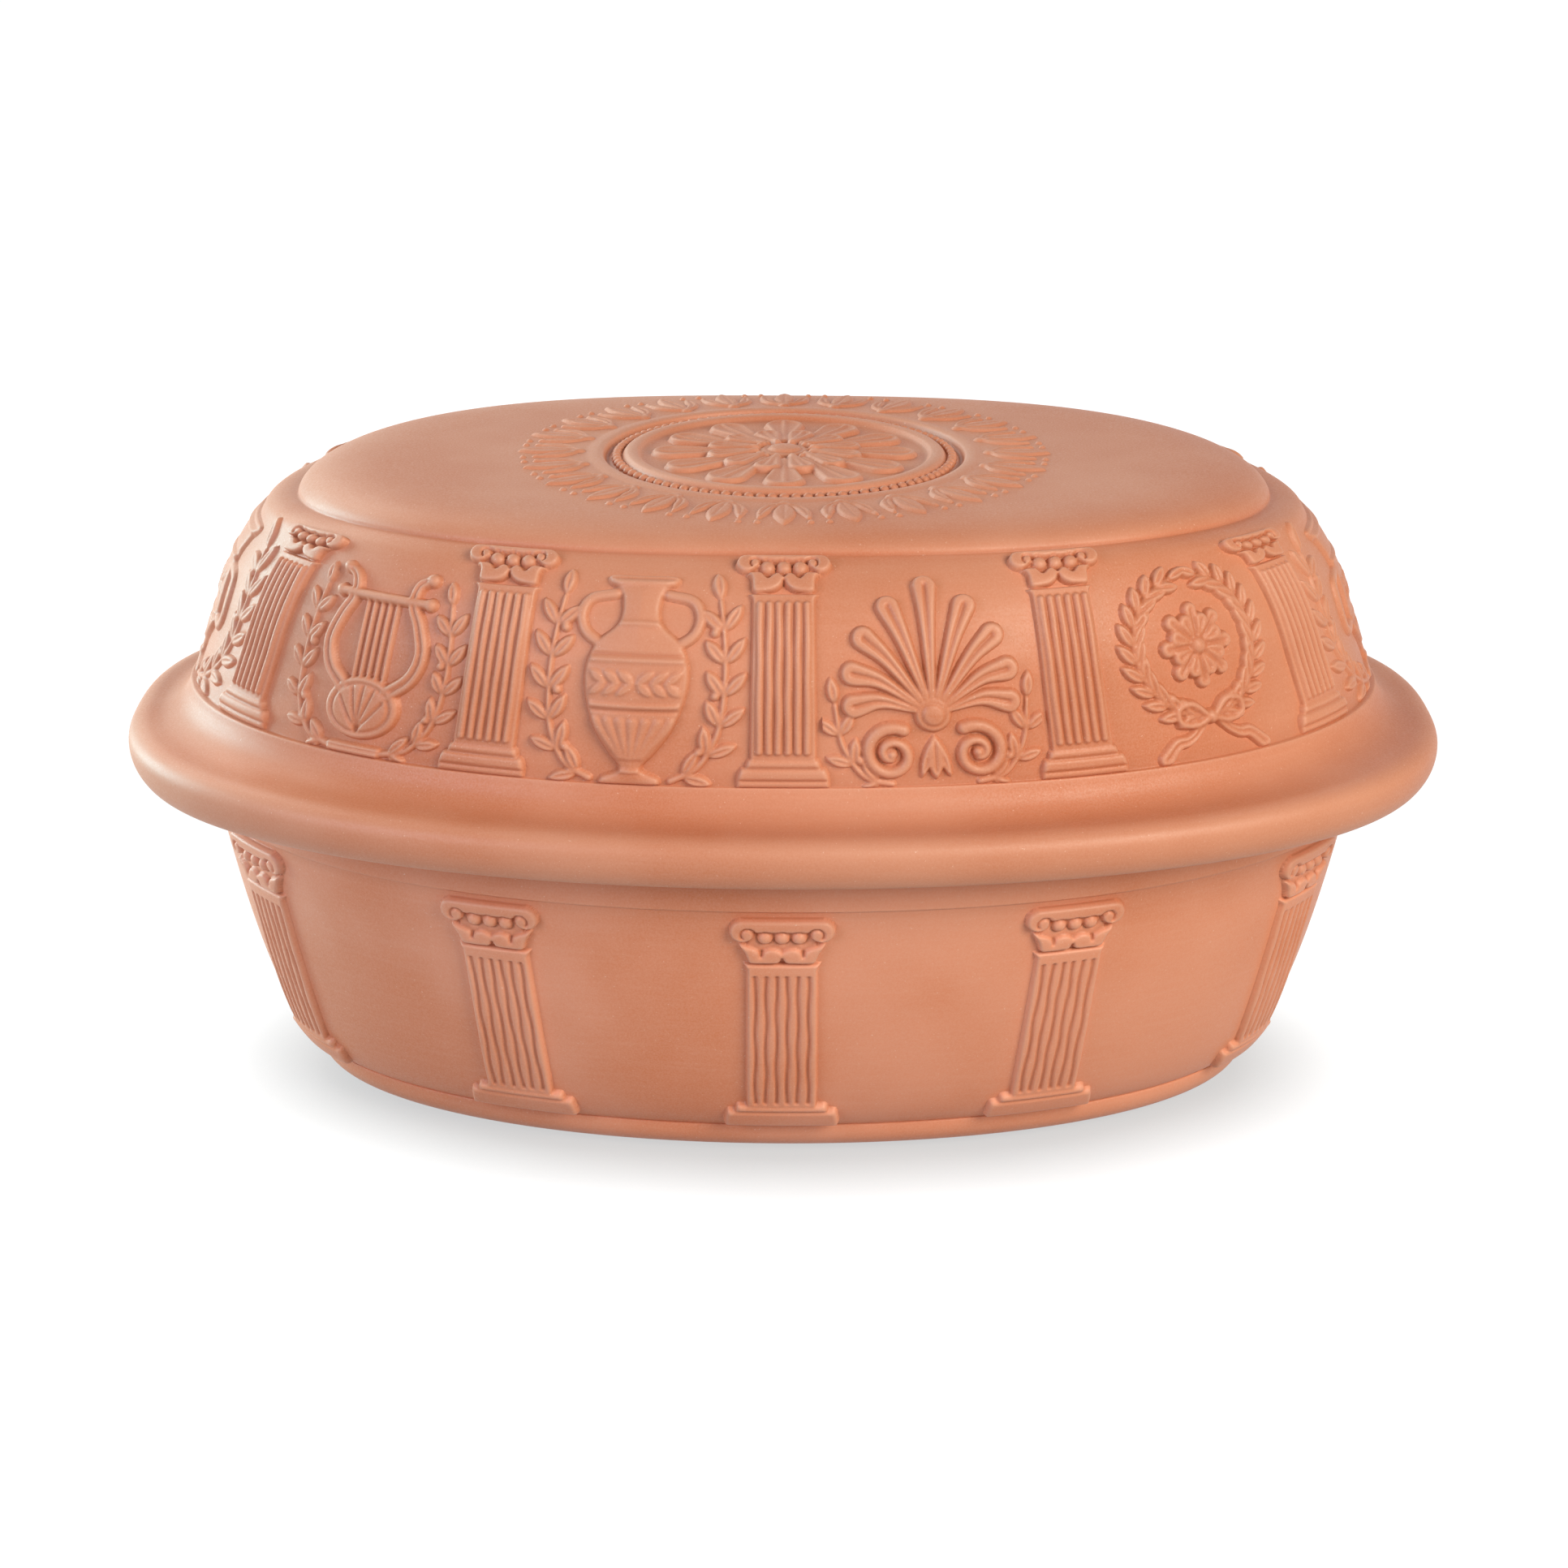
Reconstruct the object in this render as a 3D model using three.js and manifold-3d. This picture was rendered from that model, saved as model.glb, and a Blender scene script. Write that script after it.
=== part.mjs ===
import * as THREE from 'three';
import Module from 'manifold-3d';
import { mergeVertices } from 'three/addons/utils/BufferGeometryUtils.js';

// Oval clay baker: a deep dish of unglazed earthenware and its domed lid.
// Millimetres, +Z up, long side along X, standing on the ring under the dish.
// Every ring of both pieces is an oval with its own length, width and fullness.
// Fullness is the power of the cosine (along X) and of the sine (across Y):
// 1 and 1 make an ellipse, and lower powers fill out the corners.

// Walls and fits
const wall = 8;
const seatGap = 0.3;
const lipClearance = 2;
const lineStep = 0.8;

// Rim of the lid: the widest outline, a broad flange with a lip that hangs over the dish
const rimLength = 415;
const rimWidth = 276;
const rimFullness = { along: 1, across: 0.8 };
const rimThickness = 8.3;
const lipDrop = 7.2;
const lipThickness = 8;
const lipTuck = 3;
const lipWidestHeight = 2.1;
const rimRound = 8;
const edgeRound = 1;

// Dome of the lid, measured from the plane where it sits on the dish
const domeLength = 377;
const domeWidth = 237;
const domeFullness = { along: 0.9, across: 1 };
const friezeLineHeight = 18.3;
const coveStart = 1.8;
const straightHeight = 22;
const endLean = 7.5;
const shoulderHeight = 52;
const shoulderEndLean = 16;
const plateLength = 303;
const plateWidth = 189;
const plateFullness = { along: 0.88, across: 1.06 };
const plateLineHeight = 81.5;
const plateRound = 24;
const crown = 6.8;

// Round medallion on the plate: a groove and a raised ring
const medallionDiameter = 104;
const medallionGroove = 3;
const medallionRing = 5;
const medallionRelief = 1.2;

// Dish
const dishHeight = 115.2;
const dishRimThickness = 6;
const mouthLength = 365;
const mouthWidth = 231;
const mouthFullness = { along: 0.95, across: 1 };
const footLength = 305;
const footWidth = 165;
const footFullness = { along: 0.99, across: 1 };
const footLineHeight = 11;
const bandLineHeight = 94;
const footRound = 18.4;
const wallFlare = 14.5;
const wallFlareRise = 5.5;
const footRingWidth = 9;
const footRecess = 2.5;
const coveRound = 14;

// Columns in low relief, counted on each long side and set out from its middle.
// The pitch differs from foot to head, because the columns lean with the wall.
const columnsPerSide = 5;
const columnRelief = 2.4;
const columnRoot = 3;
const columnChamfer = 0.8;
const columnFootSink = 1;
const domeColumns = {
  pitch: { foot: 89.5, head: 79 },
  plinth: { width: 27, topWidth: 26, height: 6.9 },
  torus: { width: 22, topWidth: 21, height: 3.2 },
  shaft: { width: 18.6, topWidth: 18.6 },
  bell: { width: 20.4, topWidth: 23, height: 6.6 },
  scroll: { width: 28, topWidth: 28, height: 5.4 },
  headGap: 3.4,
};
const dishColumns = {
  pitch: { foot: 78.5, head: 88.5 },
  plinth: { width: 34, topWidth: 29, height: 13.3 },
  torus: { width: 27, topWidth: 25, height: 4 },
  shaft: { width: 21, topWidth: 21 },
  bell: { width: 22, topWidth: 26, height: 8.4 },
  scroll: { width: 32, topWidth: 32, height: 8.3 },
  headGap: 1.6,
};

// Facets round the ovals, along the wall and each rounded edge, and on a column
const ringSegments = 48;
const wallSteps = 6;
const edgeSteps = 4;
const columnFacets = 3;
const shaftSteps = 4;

// Small steps for measuring directions round an oval, in radians, and up a wall
const angleStep = 0.0005;
const riseStep = 0.5;
const mergeTolerance = 1e-4;

const earthenware = { color: 0xcf8563, roughness: 0.86, metalness: 0 };

const wasm = await Module();
wasm.setup();

// A station is one oval of a profile: half length, half width, height and the two fullness powers.
function station(length, width, height, fullness) {
  return [length / 2, width / 2, height, fullness.along, fullness.across];
}

function inset(from, depth, rise = 0) {
  return [from[0] - depth, from[1] - depth, from[2] + rise, from[3], from[4]];
}

function mix(from, to, share) {
  return from.map((value, i) => value + (to[i] - value) * share);
}

// Stations along a round stretch that leaves and meets its ends towards the via station.
function bend(from, via, to, steps) {
  return Array.from({ length: steps + 1 }, (_, i) => {
    const share = i / steps;
    return mix(mix(from, via, share), mix(via, to, share), share);
  });
}

function power(value, exponent) {
  return Math.sign(value) * Math.abs(value) ** exponent;
}

function ovalPoint([halfLength, halfWidth, height, along, across], angle) {
  const x = halfLength * power(Math.cos(angle), along);
  const y = halfWidth * power(Math.sin(angle), across);
  return new THREE.Vector3(x, y, height);
}

// The angle at a distance along an oval, measured from the middle of the side at startAngle.
function angleAlong(oval, startAngle, distance) {
  const step = Math.sign(distance) * angleStep;
  let angle = startAngle;
  let left = Math.abs(distance);
  while (left > 0) {
    left -= ovalPoint(oval, angle).distanceTo(ovalPoint(oval, angle + step));
    angle += step;
  }
  return angle;
}

// Equal steps of the angle set the points closest at the tight ends of an oval.
const angles = Array.from({ length: ringSegments }, (_, i) => (i / ringSegments) * 2 * Math.PI);

function toSolid(positions, triangles) {
  const geometry = new THREE.BufferGeometry();
  geometry.setAttribute('position', new THREE.Float32BufferAttribute(positions, 3));
  geometry.setIndex(triangles);
  const merged = mergeVertices(geometry, mergeTolerance);
  const vertProperties = new Float32Array(merged.attributes.position.array);
  const triVerts = new Uint32Array(merged.index.array);
  return new wasm.Manifold(new wasm.Mesh({ numProp: 3, vertProperties, triVerts }));
}

// A closed body swept round the oval, from a pole on the axis along the stations and back to the axis.
function sweptShell(stations) {
  const count = angles.length;
  const last = stations.length - 1;
  const positions = [0, 0, stations[0][2]];
  stations.forEach((oval) => angles.forEach((angle) => positions.push(...ovalPoint(oval, angle).toArray())));
  positions.push(0, 0, stations[last][2]);
  const at = (ring, i) => 1 + ring * count + (i % count);
  const endPole = 1 + stations.length * count;
  const triangles = [];
  for (let i = 0; i < count; i += 1) {
    triangles.push(0, at(0, i + 1), at(0, i));
    for (let ring = 0; ring < last; ring += 1) {
      triangles.push(at(ring, i), at(ring, i + 1), at(ring + 1, i + 1));
      triangles.push(at(ring, i), at(ring + 1, i + 1), at(ring + 1, i));
    }
    triangles.push(at(last, i), at(last, i + 1), endPole);
  }
  return toSolid(positions, triangles);
}

// The same stations moved square to their profile, to give the other face of a wall.
function offsetStations(stations, depth) {
  return stations.map((oval, i) => {
    const before = stations[Math.max(i - 1, 0)];
    const after = stations[Math.min(i + 1, stations.length - 1)];
    const rise = after[2] - before[2];
    const endRun = before[0] - after[0];
    const sideRun = before[1] - after[1];
    const endLength = Math.hypot(rise, endRun);
    const sideLength = Math.hypot(rise, sideRun);
    const drop = (endRun / endLength + sideRun / sideLength) / 2;
    const halfLength = oval[0] - (depth * rise) / endLength;
    const halfWidth = oval[1] - (depth * rise) / sideLength;
    return [halfLength, halfWidth, oval[2] - depth * drop, oval[3], oval[4]];
  });
}

// A field is the stretch of wall that carries the columns, as stations from its lower to its upper line.
// Its rise gives the wall's station at a distance up from the lower line, measured in the middle of a long side.
function wallRise(field) {
  const points = field.map(([, halfWidth, height]) => new THREE.Vector2(halfWidth, height));
  const reach = [0];
  for (let i = 1; i < points.length; i += 1) {
    reach.push(reach[i - 1] + points[i].distanceTo(points[i - 1]));
  }
  const last = reach.length - 1;
  const stationAt = (distance) => {
    const found = reach.findIndex((value) => value >= distance);
    const upper = Math.max(1, found === -1 ? last : found);
    const share = (distance - reach[upper - 1]) / (reach[upper] - reach[upper - 1]);
    return mix(field[upper - 1], field[upper], share);
  };
  return { length: reach[last], stationAt };
}

// The point of the wall at a distance along from the middle of a side and a distance up from the lower line,
// lifted off the wall by a height square to it.
function wallPoint(rise, side, along, up, height) {
  const oval = rise.stationAt(up);
  const above = rise.stationAt(up + riseStep);
  const below = rise.stationAt(up - riseStep);
  const angle = angleAlong(oval, side, along);
  const sideways = ovalPoint(oval, angle + angleStep).sub(ovalPoint(oval, angle - angleStep));
  const upward = ovalPoint(above, angle).sub(ovalPoint(below, angle));
  const normal = sideways.cross(upward).normalize();
  return ovalPoint(oval, angle).addScaledVector(normal, height);
}

// Section of a column as [across, height] points: its front edges are taken off, and both faces follow the wall.
function columnSection(width) {
  const half = width / 2;
  const steps = Array.from({ length: columnFacets + 1 }, (_, i) => (2 * i) / columnFacets - 1);
  const front = steps.map((share) => [share * (half - columnChamfer), columnRelief]);
  const root = steps.map((share) => [-share * half, -columnRoot]);
  const shoulder = columnRelief - columnChamfer;
  return [[-half, shoulder], ...front, [half, shoulder], ...root];
}

// One column as a closed loft up the wall, from its plinth to the top of its scroll.
// Its order counts from the column in the middle of the side.
function columnSolid(rise, side, order, sizes) {
  const plinthTop = sizes.plinth.height;
  const torusTop = plinthTop + sizes.torus.height;
  const scrollTop = rise.length - sizes.headGap;
  const scrollFoot = scrollTop - sizes.scroll.height;
  const bellFoot = scrollFoot - sizes.bell.height;
  const part = (from, to, steps, { width, topWidth }) =>
    Array.from({ length: steps + 1 }, (_, i) => mix([from, width], [to, topWidth], i / steps));
  const levels = [
    ...part(-columnFootSink, plinthTop - columnChamfer, 1, sizes.plinth),
    ...part(plinthTop, torusTop - columnChamfer, 1, sizes.torus),
    ...part(torusTop, bellFoot - columnChamfer, shaftSteps, sizes.shaft),
    ...part(bellFoot, scrollFoot - columnChamfer, 1, sizes.bell),
    ...part(scrollFoot, scrollTop, 1, sizes.scroll),
  ];
  const positions = [];
  levels.forEach(([up, width]) => {
    const pitch = sizes.pitch.foot + ((sizes.pitch.head - sizes.pitch.foot) * up) / rise.length;
    columnSection(width).forEach(([across, height]) => {
      positions.push(...wallPoint(rise, side, order * pitch + across, up, height).toArray());
    });
  });
  const outline = columnSection(sizes.plinth.width).map(([x, y]) => new THREE.Vector2(x, y));
  const count = outline.length;
  const top = (levels.length - 1) * count;
  const triangles = [];
  for (let low = 0; low < top; low += count) {
    for (let i = 0; i < count; i += 1) {
      const next = (i + 1) % count;
      triangles.push(low + i, low + next, low + count + next);
      triangles.push(low + i, low + count + next, low + count + i);
    }
  }
  THREE.ShapeUtils.triangulateShape(outline, []).forEach(([a, b, c]) => {
    triangles.push(a, b, c);
    triangles.push(top + a, top + c, top + b);
  });
  return toSolid(positions, triangles);
}

// Columns stand at even distances along both long sides.
function addColumns(shell, field, sizes) {
  const rise = wallRise(field);
  const outermost = (columnsPerSide - 1) / 2;
  let solid = shell;
  [-Math.PI / 2, Math.PI / 2].forEach((side) => {
    for (let order = -outermost; order <= outermost; order += 1) {
      solid = solid.add(columnSolid(rise, side, order, sizes));
    }
  });
  return solid;
}

function rimStation(depth, height) {
  return inset(station(rimLength, rimWidth, height, rimFullness), depth);
}

// The lid, with its seat plane at zero
function lidSolid() {
  const friezeLine = station(domeLength, domeWidth, friezeLineHeight, domeFullness);
  const fieldFoot = inset(friezeLine, lineStep);
  const straightTop = [...fieldFoot];
  straightTop[0] -= endLean;
  straightTop[2] += straightHeight;
  const shoulder = [...fieldFoot];
  shoulder[0] -= shoulderEndLean;
  shoulder[2] += shoulderHeight;
  const plateLine = station(plateLength, plateWidth, plateLineHeight, plateFullness);
  const field = [fieldFoot, ...bend(straightTop, shoulder, plateLine, wallSteps)];

  const plateEdge = inset(plateLine, -lineStep, lineStep);
  const plateCorner = inset(plateLine, 0, crown);
  const plateTop = inset(plateLine, plateRound, crown);
  const medallion = (radius, relief) => [radius, radius, plateLineHeight + crown + relief, 1, 1];
  const grooveOuter = medallionDiameter / 2;
  const ringOuter = grooveOuter - medallionGroove;
  const ringInner = ringOuter - medallionRing;

  const innerWall = offsetStations([...field, plateTop], wall).reverse();
  const seatEdge = inset(station(domeLength, domeWidth, 0, domeFullness), wall);

  const lipFoot = -lipDrop;
  const lipSide = rimStation(lipTuck, lipFoot + edgeRound);
  const lipSwell = rimStation(0, (lipFoot + lipWidestHeight) / 2);
  const widest = rimStation(0, lipWidestHeight);
  const rimCorner = rimStation(0, rimThickness);
  const rimTop = rimStation(rimRound, rimThickness);
  const coveFoot = inset(friezeLine, -coveStart, rimThickness - friezeLineHeight);

  const profile = [
    ...innerWall,
    seatEdge,
    rimStation(lipThickness + edgeRound, 0),
    rimStation(lipThickness, -edgeRound),
    rimStation(lipThickness, lipFoot + edgeRound),
    rimStation(lipThickness - edgeRound, lipFoot),
    rimStation(lipTuck + edgeRound, lipFoot),
    ...bend(lipSide, lipSwell, widest, edgeSteps),
    ...bend(widest, rimCorner, rimTop, edgeSteps).slice(1),
    ...bend(rimTop, coveFoot, friezeLine, edgeSteps).slice(1),
    ...field,
    ...bend(plateEdge, plateCorner, plateTop, edgeSteps),
    medallion(grooveOuter, 0),
    medallion(grooveOuter - medallionGroove / 2, -medallionRelief),
    medallion(ringOuter, medallionRelief),
    medallion(ringInner, medallionRelief),
    medallion(ringInner - medallionGroove / 2, 0),
  ];
  return addColumns(sweptShell(profile), field, domeColumns);
}

// The dish, standing on zero
function dishSolid() {
  const footLine = station(footLength, footWidth, footLineHeight, footFullness);
  const fieldFoot = inset(footLine, lineStep);
  const bandLine = station(mouthLength, mouthWidth, bandLineHeight, mouthFullness);
  const fieldTop = inset(bandLine, lineStep);
  const flare = inset(fieldFoot, -wallFlare, wallFlareRise);
  const field = bend(fieldFoot, flare, fieldTop, wallSteps);

  const ground = inset(footLine, footRound, -footLineHeight);
  const groundCorner = inset(footLine, 0, -footLineHeight);
  const ringInner = inset(ground, footRingWidth);
  const recess = inset(ringInner, footRecess, footRecess);

  const edge = inset(rimStation(lipThickness, dishHeight), lipClearance);
  const edgeFoot = inset(edge, 0, -dishRimThickness);
  const rimRoot = inset(bandLine, -lineStep, dishHeight - bandLineHeight - dishRimThickness);
  const mouth = inset(station(mouthLength, mouthWidth, dishHeight, mouthFullness), wall);

  const floorHeight = footRecess + wall;
  const innerWall = offsetStations(field, wall).filter((oval) => oval[2] > floorHeight + coveRound);
  const coveTop = innerWall[0];
  const coveCorner = [...coveTop];
  coveCorner[2] = floorHeight;
  const floorEdge = inset(coveCorner, coveRound);

  const profile = [
    recess,
    ringInner,
    ...bend(ground, groundCorner, footLine, edgeSteps),
    ...field,
    bandLine,
    inset(rimRoot, 0, -edgeRound),
    inset(rimRoot, -edgeRound),
    inset(edgeFoot, edgeRound),
    inset(edgeFoot, 0, edgeRound),
    inset(edge, 0, -edgeRound),
    inset(edge, edgeRound),
    inset(mouth, -edgeRound),
    inset(mouth, 0, -edgeRound),
    ...innerWall.reverse(),
    ...bend(coveTop, coveCorner, floorEdge, edgeSteps).slice(1),
  ];
  return addColumns(sweptShell(profile), field, dishColumns);
}

function toMesh(name, solid) {
  const { vertProperties, triVerts } = solid.getMesh();
  const geometry = new THREE.BufferGeometry();
  geometry.setAttribute('position', new THREE.BufferAttribute(vertProperties, 3));
  geometry.setIndex(new THREE.BufferAttribute(triVerts, 1));
  geometry.computeVertexNormals();
  const mesh = new THREE.Mesh(geometry, new THREE.MeshStandardMaterial(earthenware));
  mesh.name = name;
  return mesh;
}

const group = new THREE.Group();
const dish = toMesh('dish', dishSolid());
const lid = toMesh('lid', lidSolid());
lid.position.z = dishHeight + seatGap;
group.add(dish, lid);

export default group;
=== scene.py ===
import math

import bmesh
import bpy
import numpy as np
from mathutils import Matrix, Vector


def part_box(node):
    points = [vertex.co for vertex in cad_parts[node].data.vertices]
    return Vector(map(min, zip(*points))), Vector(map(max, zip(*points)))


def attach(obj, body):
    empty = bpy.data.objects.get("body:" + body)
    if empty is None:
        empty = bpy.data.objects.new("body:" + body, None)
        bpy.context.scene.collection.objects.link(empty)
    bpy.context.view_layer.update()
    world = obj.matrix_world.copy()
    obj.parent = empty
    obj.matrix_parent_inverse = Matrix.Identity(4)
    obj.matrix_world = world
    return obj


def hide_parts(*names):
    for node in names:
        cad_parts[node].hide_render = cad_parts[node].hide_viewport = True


# Oval clay baker: a dish of unglazed terracotta and its domed lid, both with columns in low relief.
# Shapes are worked out in millimetres and become metres when a mesh is made.
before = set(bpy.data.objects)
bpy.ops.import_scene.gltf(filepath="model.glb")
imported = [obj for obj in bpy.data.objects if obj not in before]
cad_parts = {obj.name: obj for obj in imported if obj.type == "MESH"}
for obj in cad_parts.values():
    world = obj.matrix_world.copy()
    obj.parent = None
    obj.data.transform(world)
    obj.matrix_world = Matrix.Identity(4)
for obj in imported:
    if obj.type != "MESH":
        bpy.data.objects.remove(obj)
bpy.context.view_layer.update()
mm = 0.001
tiny = 1e-9


def nodeBox(node):
    low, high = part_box(node)
    return np.array(low) / mm, np.array(high) / mm


def addNode(tree, kind, settings=None, inputs=None):
    node = tree.nodes.new(kind)
    for key, value in (settings or {}).items():
        setattr(node, key, value)
    for key, value in (inputs or {}).items():
        if isinstance(value, bpy.types.Node):
            value = next(socket for socket in value.outputs if socket.enabled)
        if isinstance(value, bpy.types.NodeSocket):
            tree.links.new(value, node.inputs[key])
        else:
            node.inputs[key].default_value = value
    return node


def newTree(name, inputs):
    tree = bpy.data.node_groups.new(name, "GeometryNodeTree")
    for label, kind in inputs.items():
        tree.interface.new_socket(name=label, in_out="INPUT", socket_type="NodeSocket" + kind)
    tree.interface.new_socket(name="Geometry", in_out="OUTPUT", socket_type="NodeSocketGeometry")
    return tree, addNode(tree, "NodeGroupInput").outputs


# Every tree that makes a piece ends in smooth, real geometry of one material.
def closeTree(tree, geometry, material):
    smooth = addNode(tree, "GeometryNodeSetShadeSmooth", {}, {"Geometry": geometry})
    real = addNode(tree, "GeometryNodeRealizeInstances", {}, {"Geometry": smooth})
    done = addNode(tree, "GeometryNodeSetMaterial", {}, {"Geometry": real, "Material": material})
    addNode(tree, "NodeGroupOutput", {}, {"Geometry": done})
    return tree


def newObject(name, mesh):
    piece = bpy.data.objects.new(name, mesh)
    bpy.context.scene.collection.objects.link(piece)
    return piece


def newMesh(name, points, faces=(), attributes=None):
    mesh = bpy.data.meshes.new(name)
    mesh.from_pydata((np.asarray(points) * mm).tolist(), [], [list(face) for face in faces])
    for label, values in (attributes or {}).items():
        kind = "FLOAT" if values.ndim == 1 else "FLOAT_VECTOR"
        layer = mesh.attributes.new(label, kind, "POINT")
        layer.data.foreach_set("value" if values.ndim == 1 else "vector", values.astype(np.float32).ravel())
    return mesh


# Runs a node tree on a mesh and keeps the result as a plain mesh of one piece.
def runTree(name, tree, mesh, values):
    holder = newObject(name + "_maker", mesh)
    modifier = holder.modifiers.new(name, "NODES")
    modifier.node_group = tree
    for socket in tree.interface.items_tree:
        if socket.in_out == "INPUT" and socket.name in values:
            modifier[socket.identifier] = values[socket.name]
    depsgraph = bpy.context.evaluated_depsgraph_get()
    made = bpy.data.meshes.new_from_object(
        holder.evaluated_get(depsgraph), preserve_all_data_layers=True, depsgraph=depsgraph)
    bpy.data.objects.remove(holder)
    piece = newObject(name, made)
    made.name = name
    print(name, len(made.polygons), "faces")
    return piece


# Unglazed terracotta: red clay pressed in a mould, wiped with a wet sponge and fired.
# The eye sees a matt, slightly chalky skin with pale specks and faint wiping streaks along the walls.
# The recesses are darker orange as painted shade, and the raised edges are paler, partly rubbed wear and
# partly painted highlight.
# A layer is its colour, the range over which it comes in, and its share there. It follows the noise of its
# name, given by size, detail and roughness, or else the relief. Streaks lie level round the walls. Specks of
# chalk and mica are a little larger than life, so that they show.
terracotta = {
    # The darkest colour is painted shade for the hollows; the palest orange of the edges is partly rubbed
    # wear and partly painted highlight.
    "body": "d18a6a", "warm": "c67752", "pale": "dca48c", "recess": "a85a35", "rubbedAndHighlight": "e6b299",
    "speck": "efd2c0",
    "noises": {
        "drift": (95, 3, 0.55), "streak": (26, 2, 0.6), "grain": (0.6, 2, 0.6), "speck": (0.7, 1, 0.5)},
    "layers": {
        "drift": ("body", 0.36, 0.66, 1), "streak": ("pale", 0.48, 0.74, 0.1),
        "grain": ("pale", 0.35, 0.65, 0.22), "speck": ("speck", 0.72, 0.82, 0.5),
        # The hollow layer paints shade into recesses; the edge layer pales raised edges, partly rubbed wear
        # and partly painted highlight.
        "hollowShade": ("recess", -0.03, -0.5, 0.55), "edge": ("rubbedAndHighlight", 0.05, 0.5, 0.3)},
    "streakHeight": 1.6, "streakInSkin": 0.25, "grainDepth": 0.09, "grainStrength": 0.35,
    "grainRange": (0.3, 0.7), "roughness": (0.4, 0.54), "ior": 1.5, "specular": 0.38,
}


def linear(hexColour):
    channels = [int(hexColour[i:i + 2], 16) / 255 for i in (0, 2, 4)]
    return [c / 12.92 if c <= 0.04045 else ((c + 0.055) / 1.055) ** 2.4 for c in channels] + [1]


def makeTerracotta(name, look):
    material = bpy.data.materials.new(name)
    material.use_nodes = True
    tree = material.node_tree
    shader = tree.nodes["Principled BSDF"]
    place = addNode(tree, "ShaderNodeTexCoord").outputs["Object"]
    flatness = look["noises"]["streak"][0] / look["streakHeight"]
    level = addNode(tree, "ShaderNodeMapping", {}, {
        "Vector": place, "Scale": (1, 1, flatness)}).outputs["Vector"]
    relief = addNode(tree, "ShaderNodeAttribute", {"attribute_name": "relief"}).outputs["Fac"]
    noises = {}
    for label, (size, detail, roughness) in look["noises"].items():
        noises[label] = addNode(tree, "ShaderNodeTexNoise", {}, {
            "Vector": level if label == "streak" else place, "Scale": 1 / (size * mm), "Detail": detail,
            "Roughness": roughness}).outputs["Fac"]
    tone = linear(look["warm"])
    for label, (colour, low, high, share) in look["layers"].items():
        curve = "SMOOTHSTEP" if label == "drift" else "LINEAR"
        ramp = addNode(tree, "ShaderNodeMapRange", {"interpolation_type": curve}, {
            "Value": noises.get(label, relief), "From Min": low, "From Max": high, "To Max": share})
        tone = addNode(tree, "ShaderNodeMix", {"data_type": "RGBA"}, {
            "Factor": ramp.outputs["Result"], "A": tone, "B": linear(look[colour])}).outputs["Result"]
    skin = addNode(tree, "ShaderNodeMix", {}, {
        "Factor": look["streakInSkin"], "A": noises["grain"], "B": noises["streak"]})
    bump = addNode(tree, "ShaderNodeBump", {}, {
        "Height": skin.outputs["Result"], "Strength": look["grainStrength"],
        "Distance": look["grainDepth"] * mm})
    rough = addNode(tree, "ShaderNodeMapRange", {}, {
        "Value": noises["grain"], "From Min": look["grainRange"][0], "From Max": look["grainRange"][1],
        "To Min": look["roughness"][1], "To Max": look["roughness"][0]})
    tree.links.new(tone, shader.inputs["Base Color"])
    tree.links.new(rough.outputs["Result"], shader.inputs["Roughness"])
    tree.links.new(bump.outputs["Normal"], shader.inputs["Normal"])
    shader.inputs["IOR"].default_value = look["ior"]
    shader.inputs["Specular IOR Level"].default_value = look["specular"]
    return material


# The dish's colours are paler than the lid's: painted light, for the stronger light that falls on the dish.
litDishTerracotta = dict(terracotta, body="e29676", warm="d58058", pale="e7af97")
clay = {
    "lid": makeTerracotta("unglazed_terracotta_lid", terracotta),
    "dish": makeTerracotta("unglazed_terracotta_dish_lit_paler", litDishTerracotta),
}
print("terracotta mixed")


# A station is one oval of a profile: half length, half width, height, two fullness powers and end droop.
droopPower = 6
pole = np.array([0, 0, 1, 1, 1, 0])


def station(length, width, height, fullness, droop=0.0):
    return np.array([length / 2, width / 2, height, *fullness, droop])


def inset(oval, depth, rise=0.0):
    return oval + np.array([-depth, -depth, rise, 0, 0, 0])


def bend(start, via, end, steps=12):
    share = np.linspace(0, 1, steps + 1)[:, None]
    return (1 - share) ** 2 * start + 2 * share * (1 - share) * via + share ** 2 * end


# The same stations moved square to their profile, to give the other face of a wall.
def offsetWall(stations, depth):
    before = stations[np.maximum(np.arange(len(stations)) - 1, 0)]
    after = stations[np.minimum(np.arange(len(stations)) + 1, len(stations) - 1)]
    rise = after[:, 2] - before[:, 2]
    runs = before[:, :2] - after[:, :2]
    lengths = np.hypot(runs, rise[:, None])
    moved = stations.copy()
    moved[:, :2] -= depth * rise[:, None] / lengths
    moved[:, 2] -= depth * (runs / lengths).mean(1)
    return moved


def profileReach(stations):
    steps = np.diff(stations[:, :3], axis=0)
    return np.r_[0, np.cumsum(np.hypot(steps[:, :2].mean(1), steps[:, 2]))]


def resample(stations, reach, where):
    return np.stack([np.interp(where, reach, stations[:, k]) for k in range(stations.shape[1])], 1)


def blur(values, sigma):
    size = max(1, int(round(3 * sigma)))
    kernel = np.exp(-0.5 * (np.arange(-size, size + 1) / sigma) ** 2)
    padded = np.concatenate([np.repeat(values[:1], size, 0), values, np.repeat(values[-1:], size, 0)])
    blurred = [np.convolve(padded[:, k], kernel / kernel.sum(), "valid") for k in range(values.shape[1])]
    return np.stack(blurred, 1)


def softField(field, sigma):
    return blur(blur(field, sigma).T, sigma).T
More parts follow.
